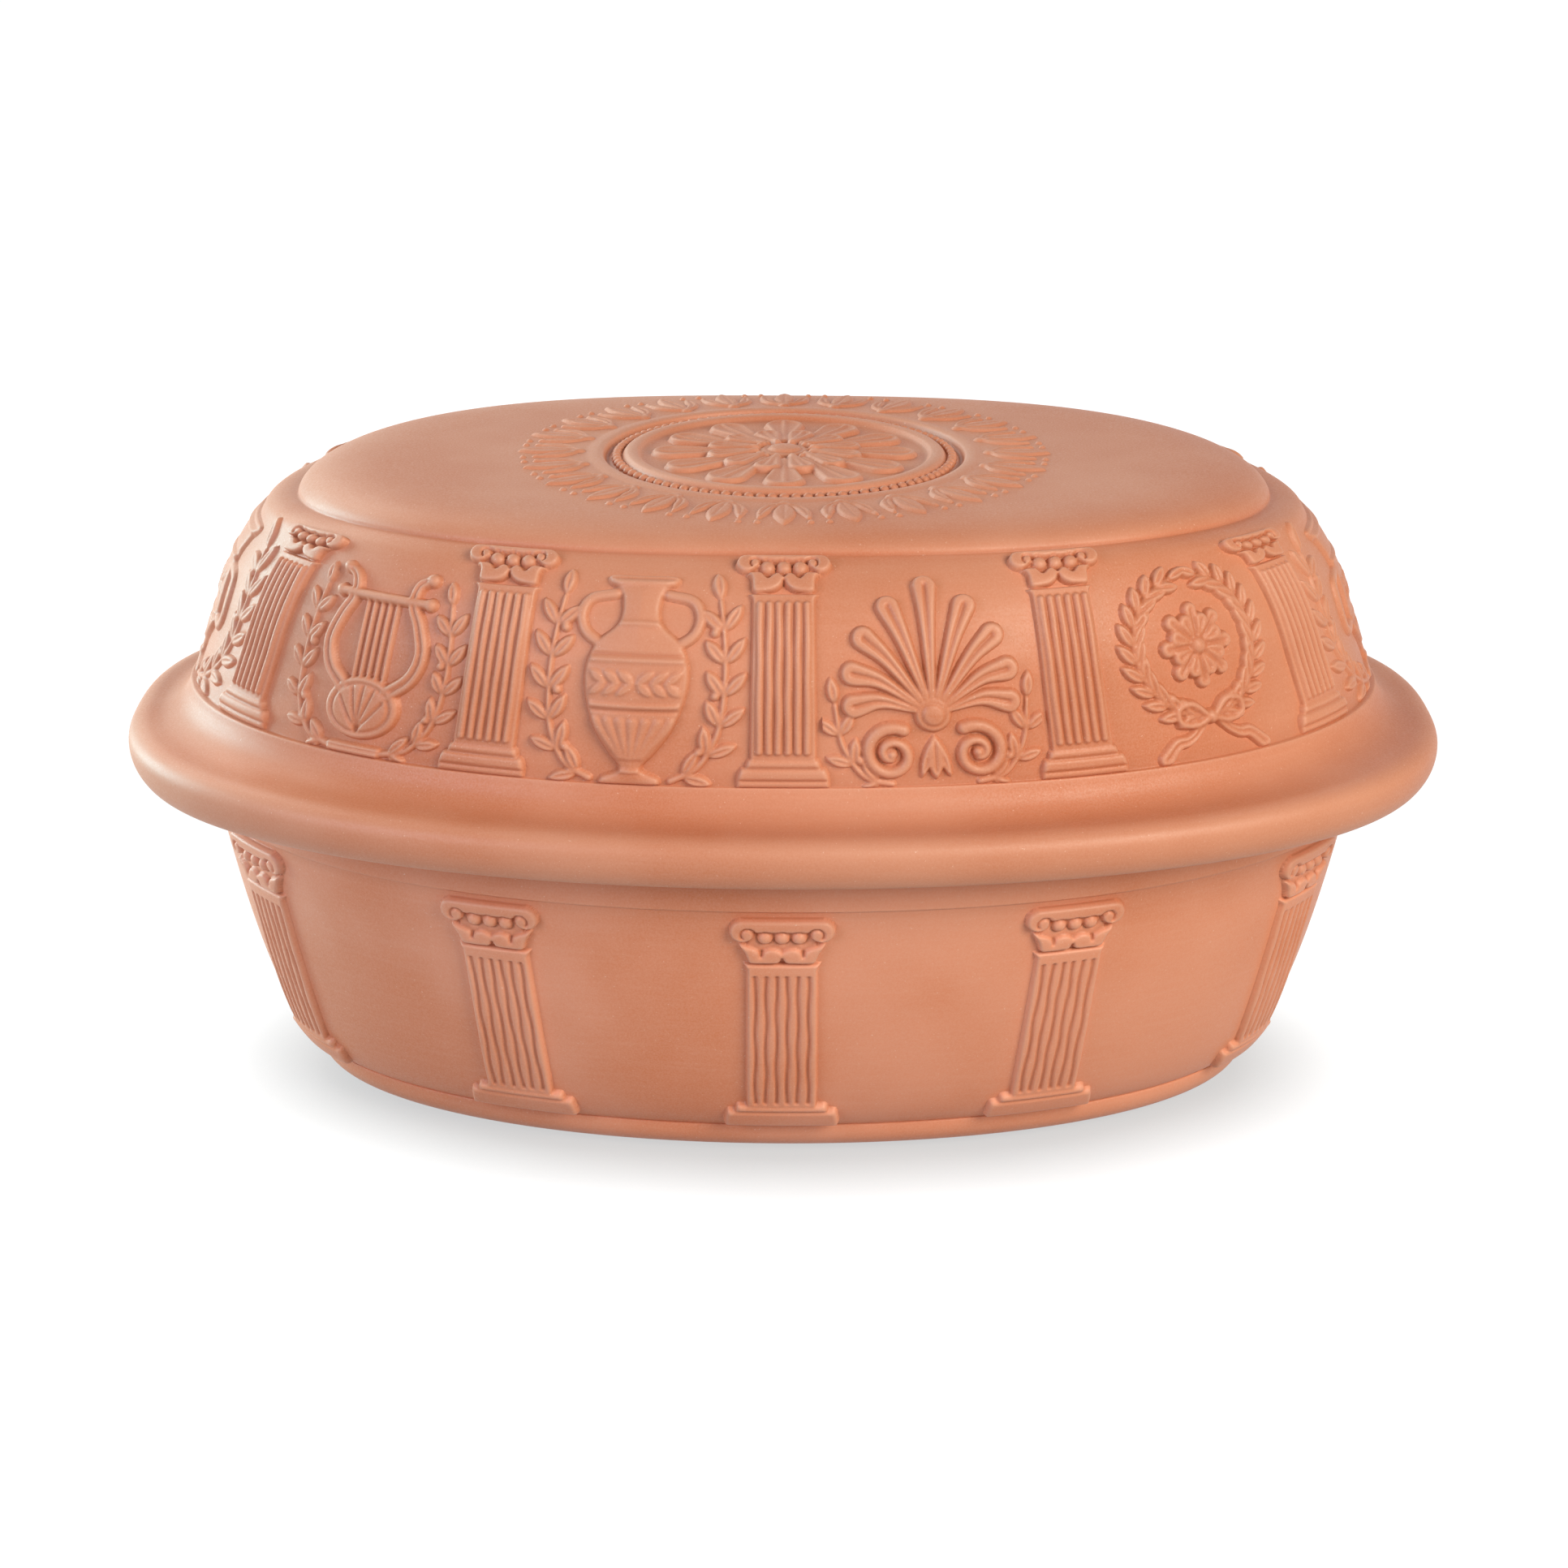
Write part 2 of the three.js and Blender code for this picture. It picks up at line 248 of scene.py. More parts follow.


# Rounds every corner of a profile as wet clay is, then keeps only the stations that its bends need.
# The relief value is high on edges and low in grooves: the profile is compared with itself smoothed further.
# In the clay's colour it gives painted shade in the grooves and paler edges, partly rubbed wear and partly
# painted highlight.
def softProfile(parts, softness, spacing=0.25, tolerance=0.012, longest=7.0, shadingTintReach=2.2, shadingTintShare=0.6):
    rough = np.concatenate([np.atleast_2d(part) for part in parts])
    reach = profileReach(rough)
    fresh = np.r_[True, np.diff(reach) > tiny]
    rough, reach = rough[fresh], reach[fresh]
    even = resample(rough, reach, np.linspace(0, reach[-1], int(reach[-1] / spacing)))
    soft = blur(even, softness / spacing)
    soft[0], soft[-1] = even[0], even[-1]
    wide = blur(soft, shadingTintReach / spacing)
    flat = np.stack([soft[:, :2].mean(1), soft[:, 2]], 1)
    away = np.stack([wide[:, :2].mean(1), wide[:, 2]], 1) - flat
    slope = np.gradient(flat, axis=0)
    lengths = np.maximum(np.linalg.norm(slope, axis=1), tiny)
    normal = np.stack([slope[:, 1], -slope[:, 0]], 1) / lengths[:, None]
    relief = -(away * normal).sum(1)
    kept = [0]
    while kept[-1] < len(flat) - 1:
        start = kept[-1]
        end = start + 1
        while end + 1 < len(flat) and (end + 1 - start) * spacing < longest:
            chord = flat[end + 1] - flat[start]
            chord = chord / max(np.linalg.norm(chord), tiny)
            between = flat[start:end + 1] - flat[start]
            if np.abs(between[:, 0] * chord[1] - between[:, 1] * chord[0]).max() > tolerance:
                break
            end += 1
        kept.append(end)
    return np.c_[soft, shadingTintShare * relief][kept]


# Sweeps a profile round its ovals: every ring has its own half length, half width and fullness.
def ovalSweepTree():
    tree, given = newTree("oval sweep", {
        "Profile": "Object", "Stations": "Int", "Segments": "Int", "Merge": "Float", "Material": "Material"})
    profile = addNode(tree, "GeometryNodeObjectInfo", {}, {"Object": given["Profile"]}).outputs["Geometry"]
    columns = addNode(tree, "FunctionNodeIntegerMath", {"operation": "ADD"}, {0: given["Segments"], 1: 1})
    grid = addNode(tree, "GeometryNodeMeshGrid", {}, {"Vertices X": given["Stations"], "Vertices Y": columns})
    index = addNode(tree, "GeometryNodeInputIndex")
    ring = addNode(tree, "FunctionNodeIntegerMath", {"operation": "DIVIDE_FLOOR"}, {0: index, 1: columns})
    turn = addNode(tree, "FunctionNodeIntegerMath", {"operation": "MODULO"}, {0: index, 1: columns})
    share = addNode(tree, "ShaderNodeMath", {"operation": "DIVIDE"}, {0: turn, 1: given["Segments"]})
    angle = addNode(tree, "ShaderNodeMath", {"operation": "MULTIPLY"}, {0: share, 1: 2 * math.pi})
    values = {}
    for label in ("halfLength", "halfWidth", "height", "along", "across", "droop", "relief"):
        named = addNode(tree, "GeometryNodeInputNamedAttribute", {}, {"Name": label})
        values[label] = addNode(tree, "GeometryNodeSampleIndex", {}, {
            "Geometry": profile, "Value": named, "Index": ring})
    point = addNode(tree, "ShaderNodeCombineXYZ")
    swings = (("X", "COSINE", "along", "halfLength"), ("Y", "SINE", "across", "halfWidth"))
    for axis, wave, fullness, half in swings:
        swing = addNode(tree, "ShaderNodeMath", {"operation": wave}, {0: angle})
        size = addNode(tree, "ShaderNodeMath", {"operation": "ABSOLUTE"}, {0: swing})
        full = addNode(tree, "ShaderNodeMath", {"operation": "POWER"}, {0: size, 1: values[fullness]})
        sign = addNode(tree, "ShaderNodeMath", {"operation": "SIGN"}, {0: swing})
        signed = addNode(tree, "ShaderNodeMath", {"operation": "MULTIPLY"}, {0: sign, 1: full})
        reach = addNode(tree, "ShaderNodeMath", {"operation": "MULTIPLY"}, {0: signed, 1: values[half]})
        tree.links.new(reach.outputs[0], point.inputs[axis])
        if axis == "X":
            end = addNode(tree, "ShaderNodeMath", {"operation": "POWER"}, {0: full, 1: droopPower})
            fall = addNode(tree, "ShaderNodeMath", {"operation": "MULTIPLY"}, {0: end, 1: values["droop"]})
            level = addNode(tree, "ShaderNodeMath", {"operation": "SUBTRACT"}, {0: values["height"], 1: fall})
            tree.links.new(level.outputs[0], point.inputs["Z"])
    tinted = addNode(tree, "GeometryNodeStoreNamedAttribute", {}, {
        "Geometry": grid, "Name": "relief", "Value": values["relief"]})
    swept = addNode(tree, "GeometryNodeSetPosition", {}, {"Geometry": tinted, "Position": point})
    closed = addNode(tree, "GeometryNodeMergeByDistance", {}, {"Geometry": swept, "Distance": given["Merge"]})
    outward = addNode(tree, "GeometryNodeFlipFaces", {}, {"Mesh": closed})
    return closeTree(tree, outward, given["Material"])


ovalSweep = ovalSweepTree()


def sweptShell(name, stations, material, segments=384, merge=0.004):
    lengths = {"halfLength": 0, "halfWidth": 1, "height": 2, "droop": 5}
    attributes = {label: stations[:, k] * mm for label, k in lengths.items()}
    attributes.update({"along": stations[:, 3], "across": stations[:, 4], "relief": stations[:, 6]})
    points = newMesh(name + "_profile", np.zeros((len(stations), 3)), (), attributes)
    profile = newObject(name + "_profile", points)
    piece = runTree(name, ovalSweep, bpy.data.meshes.new(name + "_start"), {
        "Profile": profile, "Stations": len(stations), "Segments": segments, "Merge": merge * mm,
        "Material": material})
    bpy.data.objects.remove(profile)
    return piece


# The lid: a broad rim with a lip over the dish, a curved wall with columns and a flat plate on top.
lidLow, lidHigh = nodeBox("lid")
dishLow, dishHigh = nodeBox("dish")
lidShape = {
    "wall": 8, "lineStep": 0.8, "softness": 0.4,
    "rimFullness": (1, 0.8), "rimThickness": 8.3, "lipDrop": 7.2, "lipThickness": 8, "lipTuck": 3,
    "lipWidestHeight": 2.1, "rimRound": 8, "edgeRound": 1,
    "domeLength": 377, "domeWidth": 237, "domeFullness": (0.9, 1), "friezeLineHeight": 18.3, "coveStart": 1.8,
    "straightHeight": 22, "endLean": 8, "shoulderHeight": 52, "shoulderEndLean": 16,
    "plateLength": 304, "plateWidth": 189, "plateFullness": (0.74, 1.04), "plateLineHeight": 81.5,
    "plateStep": 0.2, "crown": 6.8, "crownRise": 0.5, "endInset": 1.5,
    "endBulge": 5, "bulgePower": 8, "plateDroop": 4.3,
    "crownCorner": (2.5, 2, 2.5), "crownTop": (25, 24, 4.3),
    "medallion": [(62, 0), (60.4, 0.45), (58.4, 0.6), (56.8, 0.2), (56, -1.9), (55.2, -2.4), (54.4, -1.6),
                  (50.8, -1.2), (50.2, 0.1), (49.2, 0.9), (47.6, 1.1), (46, 0.8), (45, -0.4), (44, -0.8),
                  (0, -0.5)],
}


def lidProfile(shape):
    seat = lidLow[2] + shape["lipDrop"]
    rimSize = lidHigh[:2] - lidLow[:2]
    domeSize = (shape["domeLength"], shape["domeWidth"])

    def level(size, height, fullness, droop=0):
        return station(*size, seat + height, fullness, droop)

    def rim(depth, height):
        return inset(level(rimSize, height, shape["rimFullness"]), depth)

    friezeLine = level(domeSize, shape["friezeLineHeight"], shape["domeFullness"])
    fieldFoot = inset(friezeLine, shape["lineStep"]) - np.array([shape["endInset"], 0, 0, 0, 0, 0])
    straightTop = fieldFoot + np.array([-shape["endLean"], 0, shape["straightHeight"], 0, 0, 0])
    shoulder = fieldFoot + np.array([-shape["shoulderEndLean"], 0, shape["shoulderHeight"], 0, 0, 0])
    plateSize = (shape["plateLength"], shape["plateWidth"])
    plateLine = level(plateSize, shape["plateLineHeight"], shape["plateFullness"], shape["plateDroop"])
    plain = np.concatenate([[fieldFoot], bend(straightTop, shoulder, plateLine, steps=40)])
    # The shoulder stands fuller at the two ends, close under the plate.
    climb = np.linspace(0, 1, len(plain) - 1)
    swell = climb ** shape["bulgePower"] * (1 - climb)
    field = plain.copy()
    field[1:, 0] += shape["endBulge"] * swell / swell.max()

    plateEdge = inset(plateLine, -shape["plateStep"], shape["lineStep"])
    plateCorner, plateTop = (
        plateLine + np.array([-ends, -sides, shape["crown"], 0, 0, -droop])
        for ends, sides, droop in (shape["crownCorner"], shape["crownTop"]))
    top = plateTop[2] + shape["crownRise"]
    medallion = [[radius, radius, top + height, 1, 1, 0] for radius, height in shape["medallion"]]
    lipFoot = -shape["lipDrop"]
    edge = shape["edgeRound"]
    thick = shape["lipThickness"]
    tuck = shape["lipTuck"]
    widest = rim(0, shape["lipWidestHeight"])
    rimTop = rim(shape["rimRound"], shape["rimThickness"])
    coveFoot = inset(friezeLine, -shape["coveStart"], shape["rimThickness"] - shape["friezeLineHeight"])
    innerWall = offsetWall(np.concatenate([plain, [plateTop]]), shape["wall"])[::-1]
    innerPole = innerWall[0] * pole
    seatEdge = inset(level(domeSize, 0, shape["domeFullness"]), shape["wall"])
    parts = [
        innerPole, innerWall, seatEdge, rim(thick + edge, 0), rim(thick, -edge), rim(thick, lipFoot + edge),
        rim(thick - edge, lipFoot), rim(tuck + edge, lipFoot),
        bend(rim(tuck, lipFoot + edge), rim(0, (lipFoot + shape["lipWidestHeight"]) / 2), widest),
        bend(widest, rim(0, shape["rimThickness"]), rimTop), bend(rimTop, coveFoot, friezeLine),
        field, bend(plateEdge, plateCorner, plateTop, steps=24), np.array(medallion)]
    return parts, field


lidParts, lidField = lidProfile(lidShape)
lidShell = sweptShell("lid_shell", softProfile(lidParts, lidShape["softness"]), clay["lid"])


# The dish: a rounded foot, a flaring wall with columns between two lines, a plain band and a hidden flange.
dishShape = {
    "wall": 8, "lineStep": 0.8, "softness": 0.4, "edgeRound": 1, "rimThickness": 6,
    "mouthLength": 365, "mouthWidth": 231, "mouthFullness": (0.95, 1),
    "footLength": 305, "footWidth": 165, "footFullness": (0.99, 1),
    "footLineHeight": 11, "bandLineHeight": 94, "footRound": 18.4, "wallFlare": 14.5, "wallFlareRise": 5.5,
    "footRingWidth": 9, "footRecess": 2.5, "coveRound": 14,
}


def dishProfile(shape):
    height = dishHigh[2]
    edge = shape["edgeRound"]
    mouthSize = (shape["mouthLength"], shape["mouthWidth"])
    footSize = (shape["footLength"], shape["footWidth"])
    footLine = station(*footSize, shape["footLineHeight"], shape["footFullness"])
    fieldFoot = inset(footLine, shape["lineStep"])
    bandLine = station(*mouthSize, shape["bandLineHeight"], shape["mouthFullness"])
    flare = inset(fieldFoot, -shape["wallFlare"], shape["wallFlareRise"])
    field = bend(fieldFoot, flare, inset(bandLine, shape["lineStep"]), steps=60)

    ground = inset(footLine, shape["footRound"], -shape["footLineHeight"])
    groundCorner = inset(footLine, 0, -shape["footLineHeight"])
    ringInner = inset(ground, shape["footRingWidth"])
    recess = inset(ringInner, shape["footRecess"], shape["footRecess"])
    flange = station(*(dishHigh[:2] - dishLow[:2]), height, lidShape["rimFullness"])
    flangeFoot = inset(flange, 0, -shape["rimThickness"])
    rimRoot = inset(bandLine, -shape["lineStep"], height - shape["bandLineHeight"] - shape["rimThickness"])
    mouth = inset(station(*mouthSize, height, shape["mouthFullness"]), shape["wall"])

    floor = shape["footRecess"] + shape["wall"]
    innerWall = offsetWall(field, shape["wall"])
    innerWall = innerWall[innerWall[:, 2] > floor + shape["coveRound"]]
    coveCorner = innerWall[0].copy()
    coveCorner[2] = floor
    floorEdge = inset(coveCorner, shape["coveRound"])
    parts = [
        recess * pole, recess, ringInner, bend(ground, groundCorner, footLine, steps=24), field, bandLine,
        inset(rimRoot, 0, -edge), inset(rimRoot, -edge), inset(flangeFoot, edge), inset(flangeFoot, 0, edge),
        inset(flange, 0, -edge), inset(flange, edge), inset(mouth, -edge), inset(mouth, 0, -edge),
        innerWall[::-1], bend(innerWall[0], coveCorner, floorEdge, steps=16), floorEdge * pole]
    return parts, field


dishParts, dishField = dishProfile(dishShape)
dishShell = sweptShell("dish_shell", softProfile(dishParts, dishShape["softness"]), clay["dish"])


def signedPower(values, power):
    return np.sign(values) * np.abs(values) ** power


def ovalRing(oval, angles):
    x = oval[0] * signedPower(np.cos(angles), oval[3])
    y = oval[1] * signedPower(np.sin(angles), oval[4])
    return np.stack([x, y, oval[2] - oval[5] * np.abs(x / oval[0]) ** droopPower], 1)


# A carrier is the wall unrolled: a grid of points at true distances along each level and up the middle.
carrierGrid = {"below": 2.0, "above": 1.0, "step": 1.0, "turn": 0.6 * math.pi, "samples": 3001}


def wallCarrier(name, field, middle, reach):
    below, above, step = carrierGrid["below"], carrierGrid["above"], carrierGrid["step"]
    angles = middle + np.linspace(-carrierGrid["turn"], carrierGrid["turn"], carrierGrid["samples"])
    line = np.concatenate([ovalRing(oval, np.array([middle])) for oval in field])
    rise = np.r_[0, np.cumsum(np.linalg.norm(np.diff(line, axis=0), axis=1))]
    ups = np.linspace(-below, rise[-1] + above, int((rise[-1] + below + above) / step) + 1)
    levels = resample(field, rise, ups)
    for k, oval in ((0, field[0] - field[1]), (-1, field[-1] - field[-2])):
        stretch = rise[1] if k == 0 else rise[-1] - rise[-2]
        outside = ups < 0 if k == 0 else ups > rise[-1]
        past = -ups[outside] if k == 0 else ups[outside] - rise[-1]
        levels[outside] = field[k] + oval * (past / stretch)[:, None]
    alongs = np.linspace(-reach, reach, int(2 * reach / step) + 1)
    rows = []
    for oval in levels:
        ring = ovalRing(oval, angles)
        distance = np.r_[0, np.cumsum(np.linalg.norm(np.diff(ring, axis=0), axis=1))]
        distance -= np.interp(middle, angles, distance)
        rows.append(ovalRing(oval, np.interp(alongs, distance, angles)))
    points = np.array(rows)
    outward = np.cross(np.gradient(points, axis=1), np.gradient(points, axis=0))
    outward /= np.linalg.norm(outward, axis=2, keepdims=True)
    count = len(alongs)
    corner = (np.arange(len(ups) - 1)[:, None] * count + np.arange(count - 1)).ravel()
    faces = np.stack([corner, corner + 1, corner + count + 1, corner + count], 1)
    shareX, shareY = np.meshgrid(np.linspace(0, 1, count), np.linspace(0, 1, len(ups)))
    shares = np.stack([shareX, shareY, np.zeros(shareX.shape)], 2)
    mesh = newMesh(name, points.reshape(-1, 3), faces, {
        "outward": outward.reshape(-1, 3), "unroll": shares.reshape(-1, 3)})
    return {
        "wall": newObject(name, mesh), "length": rise[-1],
        "origin": Vector((-reach, -below, 0)) * mm, "span": Vector((2 * reach, ups[-1] + below, 1)) * mm}


# Lays flat reliefs on a carrier: x runs along the wall, y up it, and z stands off it.
def layOnWallTree():
    tree, given = newTree("lay on wall", {
        "Geometry": "Geometry", "Wall": "Object", "Origin": "Vector", "Span": "Vector"})
    wall = addNode(tree, "GeometryNodeObjectInfo", {}, {"Object": given["Wall"]}).outputs["Geometry"]
    place = addNode(tree, "GeometryNodeInputPosition")
    offset = addNode(tree, "ShaderNodeVectorMath", {"operation": "SUBTRACT"}, {0: place, 1: given["Origin"]})
    share = addNode(tree, "ShaderNodeVectorMath", {"operation": "DIVIDE"}, {0: offset, 1: given["Span"]})
    lift = addNode(tree, "ShaderNodeSeparateXYZ", {}, {"Vector": place}).outputs["Z"]
    unroll, outward = (
        addNode(tree, "GeometryNodeInputNamedAttribute", {"data_type": "FLOAT_VECTOR"}, {"Name": label})
        for label in ("unroll", "outward"))
    under, normal = (
        addNode(tree, "GeometryNodeSampleUVSurface", {"data_type": "FLOAT_VECTOR"}, {
            "Mesh": wall, "Value": value, "Source UV Map": unroll, "Sample UV": share})
        for value in (place, outward))
    stand = addNode(tree, "ShaderNodeVectorMath", {"operation": "SCALE"}, {0: normal, "Scale": lift})
    on = addNode(tree, "ShaderNodeVectorMath", {"operation": "ADD"}, {0: under, 1: stand})
    laid = addNode(tree, "GeometryNodeSetPosition", {}, {"Geometry": given["Geometry"], "Position": on})
    addNode(tree, "NodeGroupOutput", {}, {"Geometry": laid})
    return tree


layOnWall = layOnWallTree()


# Repeats a relief along a wall, at a pitch that may differ from foot to head, and again on the other side.
# The last ones of a row may be shorter, stand farther out, and lean in with the shoulder at their heads.
rowEnds = {"dropPower": 4, "spreadPower": 5, "leanPower": 4}


def reliefRowTree():
    tree, given = newTree("relief row", {
        "Geometry": "Geometry", "Wall": "Object", "Origin": "Vector", "Span": "Vector", "Count": "Int",
        "Place": "Float", "Foot Pitch": "Float", "Head Pitch": "Float", "Wall Height": "Float",
        "End Drop": "Float", "End Spread": "Float", "End Lean": "Float", "Material": "Material"})
    points = addNode(tree, "GeometryNodeMeshLine", {}, {
        "Count": given["Count"], "Start Location": (0, 0, 0), "Offset": (0, 0, 0)})
    index = addNode(tree, "GeometryNodeInputIndex")
    others = addNode(tree, "ShaderNodeMath", {"operation": "SUBTRACT"}, {0: given["Count"], 1: 1})
    half = addNode(tree, "ShaderNodeMath", {"operation": "DIVIDE"}, {0: others, 1: 2})
    centred = addNode(tree, "ShaderNodeMath", {"operation": "SUBTRACT"}, {0: index, 1: half})
    order = addNode(tree, "ShaderNodeMath", {"operation": "ADD"}, {0: centred, 1: given["Place"]})
    ordered = addNode(tree, "GeometryNodeStoreNamedAttribute", {}, {
        "Geometry": points, "Name": "order", "Value": order})
    instances = addNode(tree, "GeometryNodeInstanceOnPoints", {}, {
        "Points": ordered, "Instance": given["Geometry"]})
    row = addNode(tree, "GeometryNodeRealizeInstances", {}, {"Geometry": instances})
    spot = addNode(tree, "ShaderNodeSeparateXYZ", {}, {
        "Vector": addNode(tree, "GeometryNodeInputPosition")}).outputs
    climb = addNode(tree, "ShaderNodeMath", {"operation": "DIVIDE"}, {0: spot["Y"], 1: given["Wall Height"]})
    change = addNode(tree, "ShaderNodeMath", {"operation": "SUBTRACT"}, {
        0: given["Head Pitch"], 1: given["Foot Pitch"]})
    pitch = addNode(tree, "ShaderNodeMath", {"operation": "MULTIPLY_ADD"}, {
        0: change, 1: climb, 2: given["Foot Pitch"]})
    orderHere = addNode(tree, "GeometryNodeInputNamedAttribute", {}, {"Name": "order"})
    even = addNode(tree, "ShaderNodeMath", {"operation": "MULTIPLY_ADD"}, {
        0: orderHere, 1: pitch, 2: spot["X"]})
    endShare = addNode(tree, "ShaderNodeMath", {"operation": "DIVIDE"}, {0: orderHere, 1: half})
    outward = addNode(tree, "ShaderNodeMath", {"operation": "POWER"}, {
        0: endShare, 1: rowEnds["spreadPower"]})
    bent = addNode(tree, "ShaderNodeMath", {"operation": "POWER"}, {0: climb, 1: rowEnds["leanPower"]})
    inward = addNode(tree, "ShaderNodeMath", {"operation": "MULTIPLY"}, {0: bent, 1: given["End Lean"]})
    shift = addNode(tree, "ShaderNodeMath", {"operation": "SUBTRACT"}, {0: given["End Spread"], 1: inward})
    along = addNode(tree, "ShaderNodeMath", {"operation": "MULTIPLY_ADD"}, {0: outward, 1: shift, 2: even})
    steep = addNode(tree, "ShaderNodeMath", {"operation": "POWER"}, {0: endShare, 1: rowEnds["dropPower"]})
    lower = addNode(tree, "ShaderNodeMath", {"operation": "MULTIPLY"}, {0: steep, 1: given["End Drop"]})
    kept = addNode(tree, "ShaderNodeMath", {"operation": "SUBTRACT"}, {0: 1, 1: lower})
    upward = addNode(tree, "ShaderNodeMath", {"operation": "MULTIPLY"}, {0: spot["Y"], 1: kept})
    flat = addNode(tree, "ShaderNodeCombineXYZ", {}, {"X": along, "Y": upward, "Z": spot["Z"]})
    spread = addNode(tree, "GeometryNodeSetPosition", {}, {"Geometry": row, "Position": flat})
    laid = addNode(tree, "GeometryNodeGroup", {"node_tree": layOnWall}, {
        "Geometry": spread, "Wall": given["Wall"], "Origin": given["Origin"], "Span": given["Span"]})
    turned = addNode(tree, "GeometryNodeTransform", {}, {"Geometry": laid, "Rotation": (0, 0, math.pi)})
    join = addNode(tree, "GeometryNodeJoinGeometry", {}, {"Geometry": laid})
    tree.links.new(turned.outputs["Geometry"], join.inputs["Geometry"])
    return closeTree(tree, join, given["Material"])


reliefRow = reliefRowTree()


# Repeats a relief round a circle and drops it on the plate below.
def reliefRingTree():
    tree, given = newTree("relief ring", {
        "Geometry": "Geometry", "Plate": "Object", "Count": "Int", "Radius": "Float", "Above": "Float",
        "Material": "Material"})
    points = addNode(tree, "GeometryNodeMeshLine", {}, {
        "Count": given["Count"], "Start Location": (0, 0, 0), "Offset": (0, 0, 0)})
    share = addNode(tree, "ShaderNodeMath", {"operation": "DIVIDE"}, {
        0: addNode(tree, "GeometryNodeInputIndex"), 1: given["Count"]})
    angle = addNode(tree, "ShaderNodeMath", {"operation": "MULTIPLY"}, {0: share, 1: 2 * math.pi})
    turn = addNode(tree, "FunctionNodeEulerToRotation", {}, {
        "Euler": addNode(tree, "ShaderNodeCombineXYZ", {}, {"Z": angle})})
    outward = addNode(tree, "ShaderNodeCombineXYZ", {}, {"Y": given["Radius"]})
    moved = addNode(tree, "GeometryNodeTransform", {}, {
        "Geometry": given["Geometry"], "Translation": outward})
    instances = addNode(tree, "GeometryNodeInstanceOnPoints", {}, {
        "Points": points, "Instance": moved, "Rotation": turn})
    ring = addNode(tree, "GeometryNodeRealizeInstances", {}, {"Geometry": instances})
    spot = addNode(tree, "ShaderNodeSeparateXYZ", {}, {
        "Vector": addNode(tree, "GeometryNodeInputPosition")}).outputs
    above = addNode(tree, "ShaderNodeCombineXYZ", {}, {"X": spot["X"], "Y": spot["Y"], "Z": given["Above"]})
    plate = addNode(tree, "GeometryNodeObjectInfo", {}, {"Object": given["Plate"]}).outputs["Geometry"]
    hit = addNode(tree, "GeometryNodeRaycast", {}, {
        "Target Geometry": plate, "Source Position": above,
        "Ray Direction": (0, 0, -1)}).outputs["Hit Position"]
    under = addNode(tree, "ShaderNodeSeparateXYZ", {}, {"Vector": hit}).outputs["Z"]
    level = addNode(tree, "ShaderNodeMath", {"operation": "ADD"}, {0: under, 1: spot["Z"]})
    on = addNode(tree, "ShaderNodeCombineXYZ", {}, {"X": spot["X"], "Y": spot["Y"], "Z": level})
    laid = addNode(tree, "GeometryNodeSetPosition", {}, {"Geometry": ring, "Position": on})
    return closeTree(tree, laid, given["Material"])


reliefRing = reliefRingTree()


# Reliefs are height fields in millimetres, built from the distance inside each outline.
farOutside = -99.0


def rise(inside, height, edge, early=0.4):
    share = np.clip((inside + early * edge) / edge, 0, 1)
    return height * share * share * (3 - 2 * share)


def dome(inside, radius, height):
    depth = np.clip(inside / radius, 0, 1)
    return height * np.sqrt(1 - (1 - depth) ** 2)


def bump(offset, half):
    return np.clip(1 - (offset / half) ** 2, 0, 1)


def insideBox(x, y, left, right, low, high, corner=0.0):
    beyondX = np.maximum(left + corner - x, x - right + corner)
    beyondY = np.maximum(low + corner - y, y - high + corner)
    outside = np.hypot(np.maximum(beyondX, 0), np.maximum(beyondY, 0))
    return corner - outside - np.minimum(np.maximum(beyondX, beyondY), 0)


def insideDisc(x, y, centre, radius):
    return radius - np.hypot(x - centre[0], y - centre[1])


def ballField(x, y, centre, radius, height):
    return dome(insideDisc(x, y, centre, radius), radius, height)


# A stroke follows a line of points, with a radius for each point or one radius for all.
def insideStroke(x, y, line, radii):
    radii = np.broadcast_to(radii, len(line))
    inside = np.full(x.shape, farOutside)
    for (x0, y0), (x1, y1), r0, r1 in zip(line, line[1:], radii, radii[1:]):
        dx, dy = x1 - x0, y1 - y0
        share = np.clip(((x - x0) * dx + (y - y0) * dy) / max(dx * dx + dy * dy, tiny), 0, 1)
        gap = np.hypot(x - x0 - share * dx, y - y0 - share * dy)
        inside = np.maximum(inside, r0 + share * (r1 - r0) - gap)
    return inside


# A stroke that tapers from its first radius to its last.
def insideTaper(x, y, line, radii):
    return insideStroke(x, y, line, np.linspace(*radii, len(line)))


def insideOutline(x, y, outline):
    closed = np.concatenate([outline, outline[:1]])
    gap = -insideStroke(x, y, closed, 0)
    within = np.zeros(x.shape, bool)
    for (x0, y0), (x1, y1) in zip(closed, closed[1:]):
        if y0 != y1:
            within ^= ((y0 > y) != (y1 > y)) & (x < x0 + (y - y0) * (x1 - x0) / (y1 - y0))
    return np.where(within, gap, -gap)


# An outline given by its right side alone.
def insideMirrored(x, y, side):
    return insideOutline(x, y, np.concatenate([side, side[::-1] * [-1, 1]]))


# A leaf is two equal arcs that meet at its base and its tip.
def insideLeaf(x, y, base, tip, width):
    dx, dy = tip[0] - base[0], tip[1] - base[1]
    length = math.hypot(dx, dy)
    along = ((x - base[0]) * dx + (y - base[1]) * dy) / length - length / 2
    across = np.abs((y - base[1]) * dx - (x - base[0]) * dy) / length
    radius = (length ** 2 + width ** 2) / (4 * width)
    return radius - np.hypot(along, across + radius - width / 2)


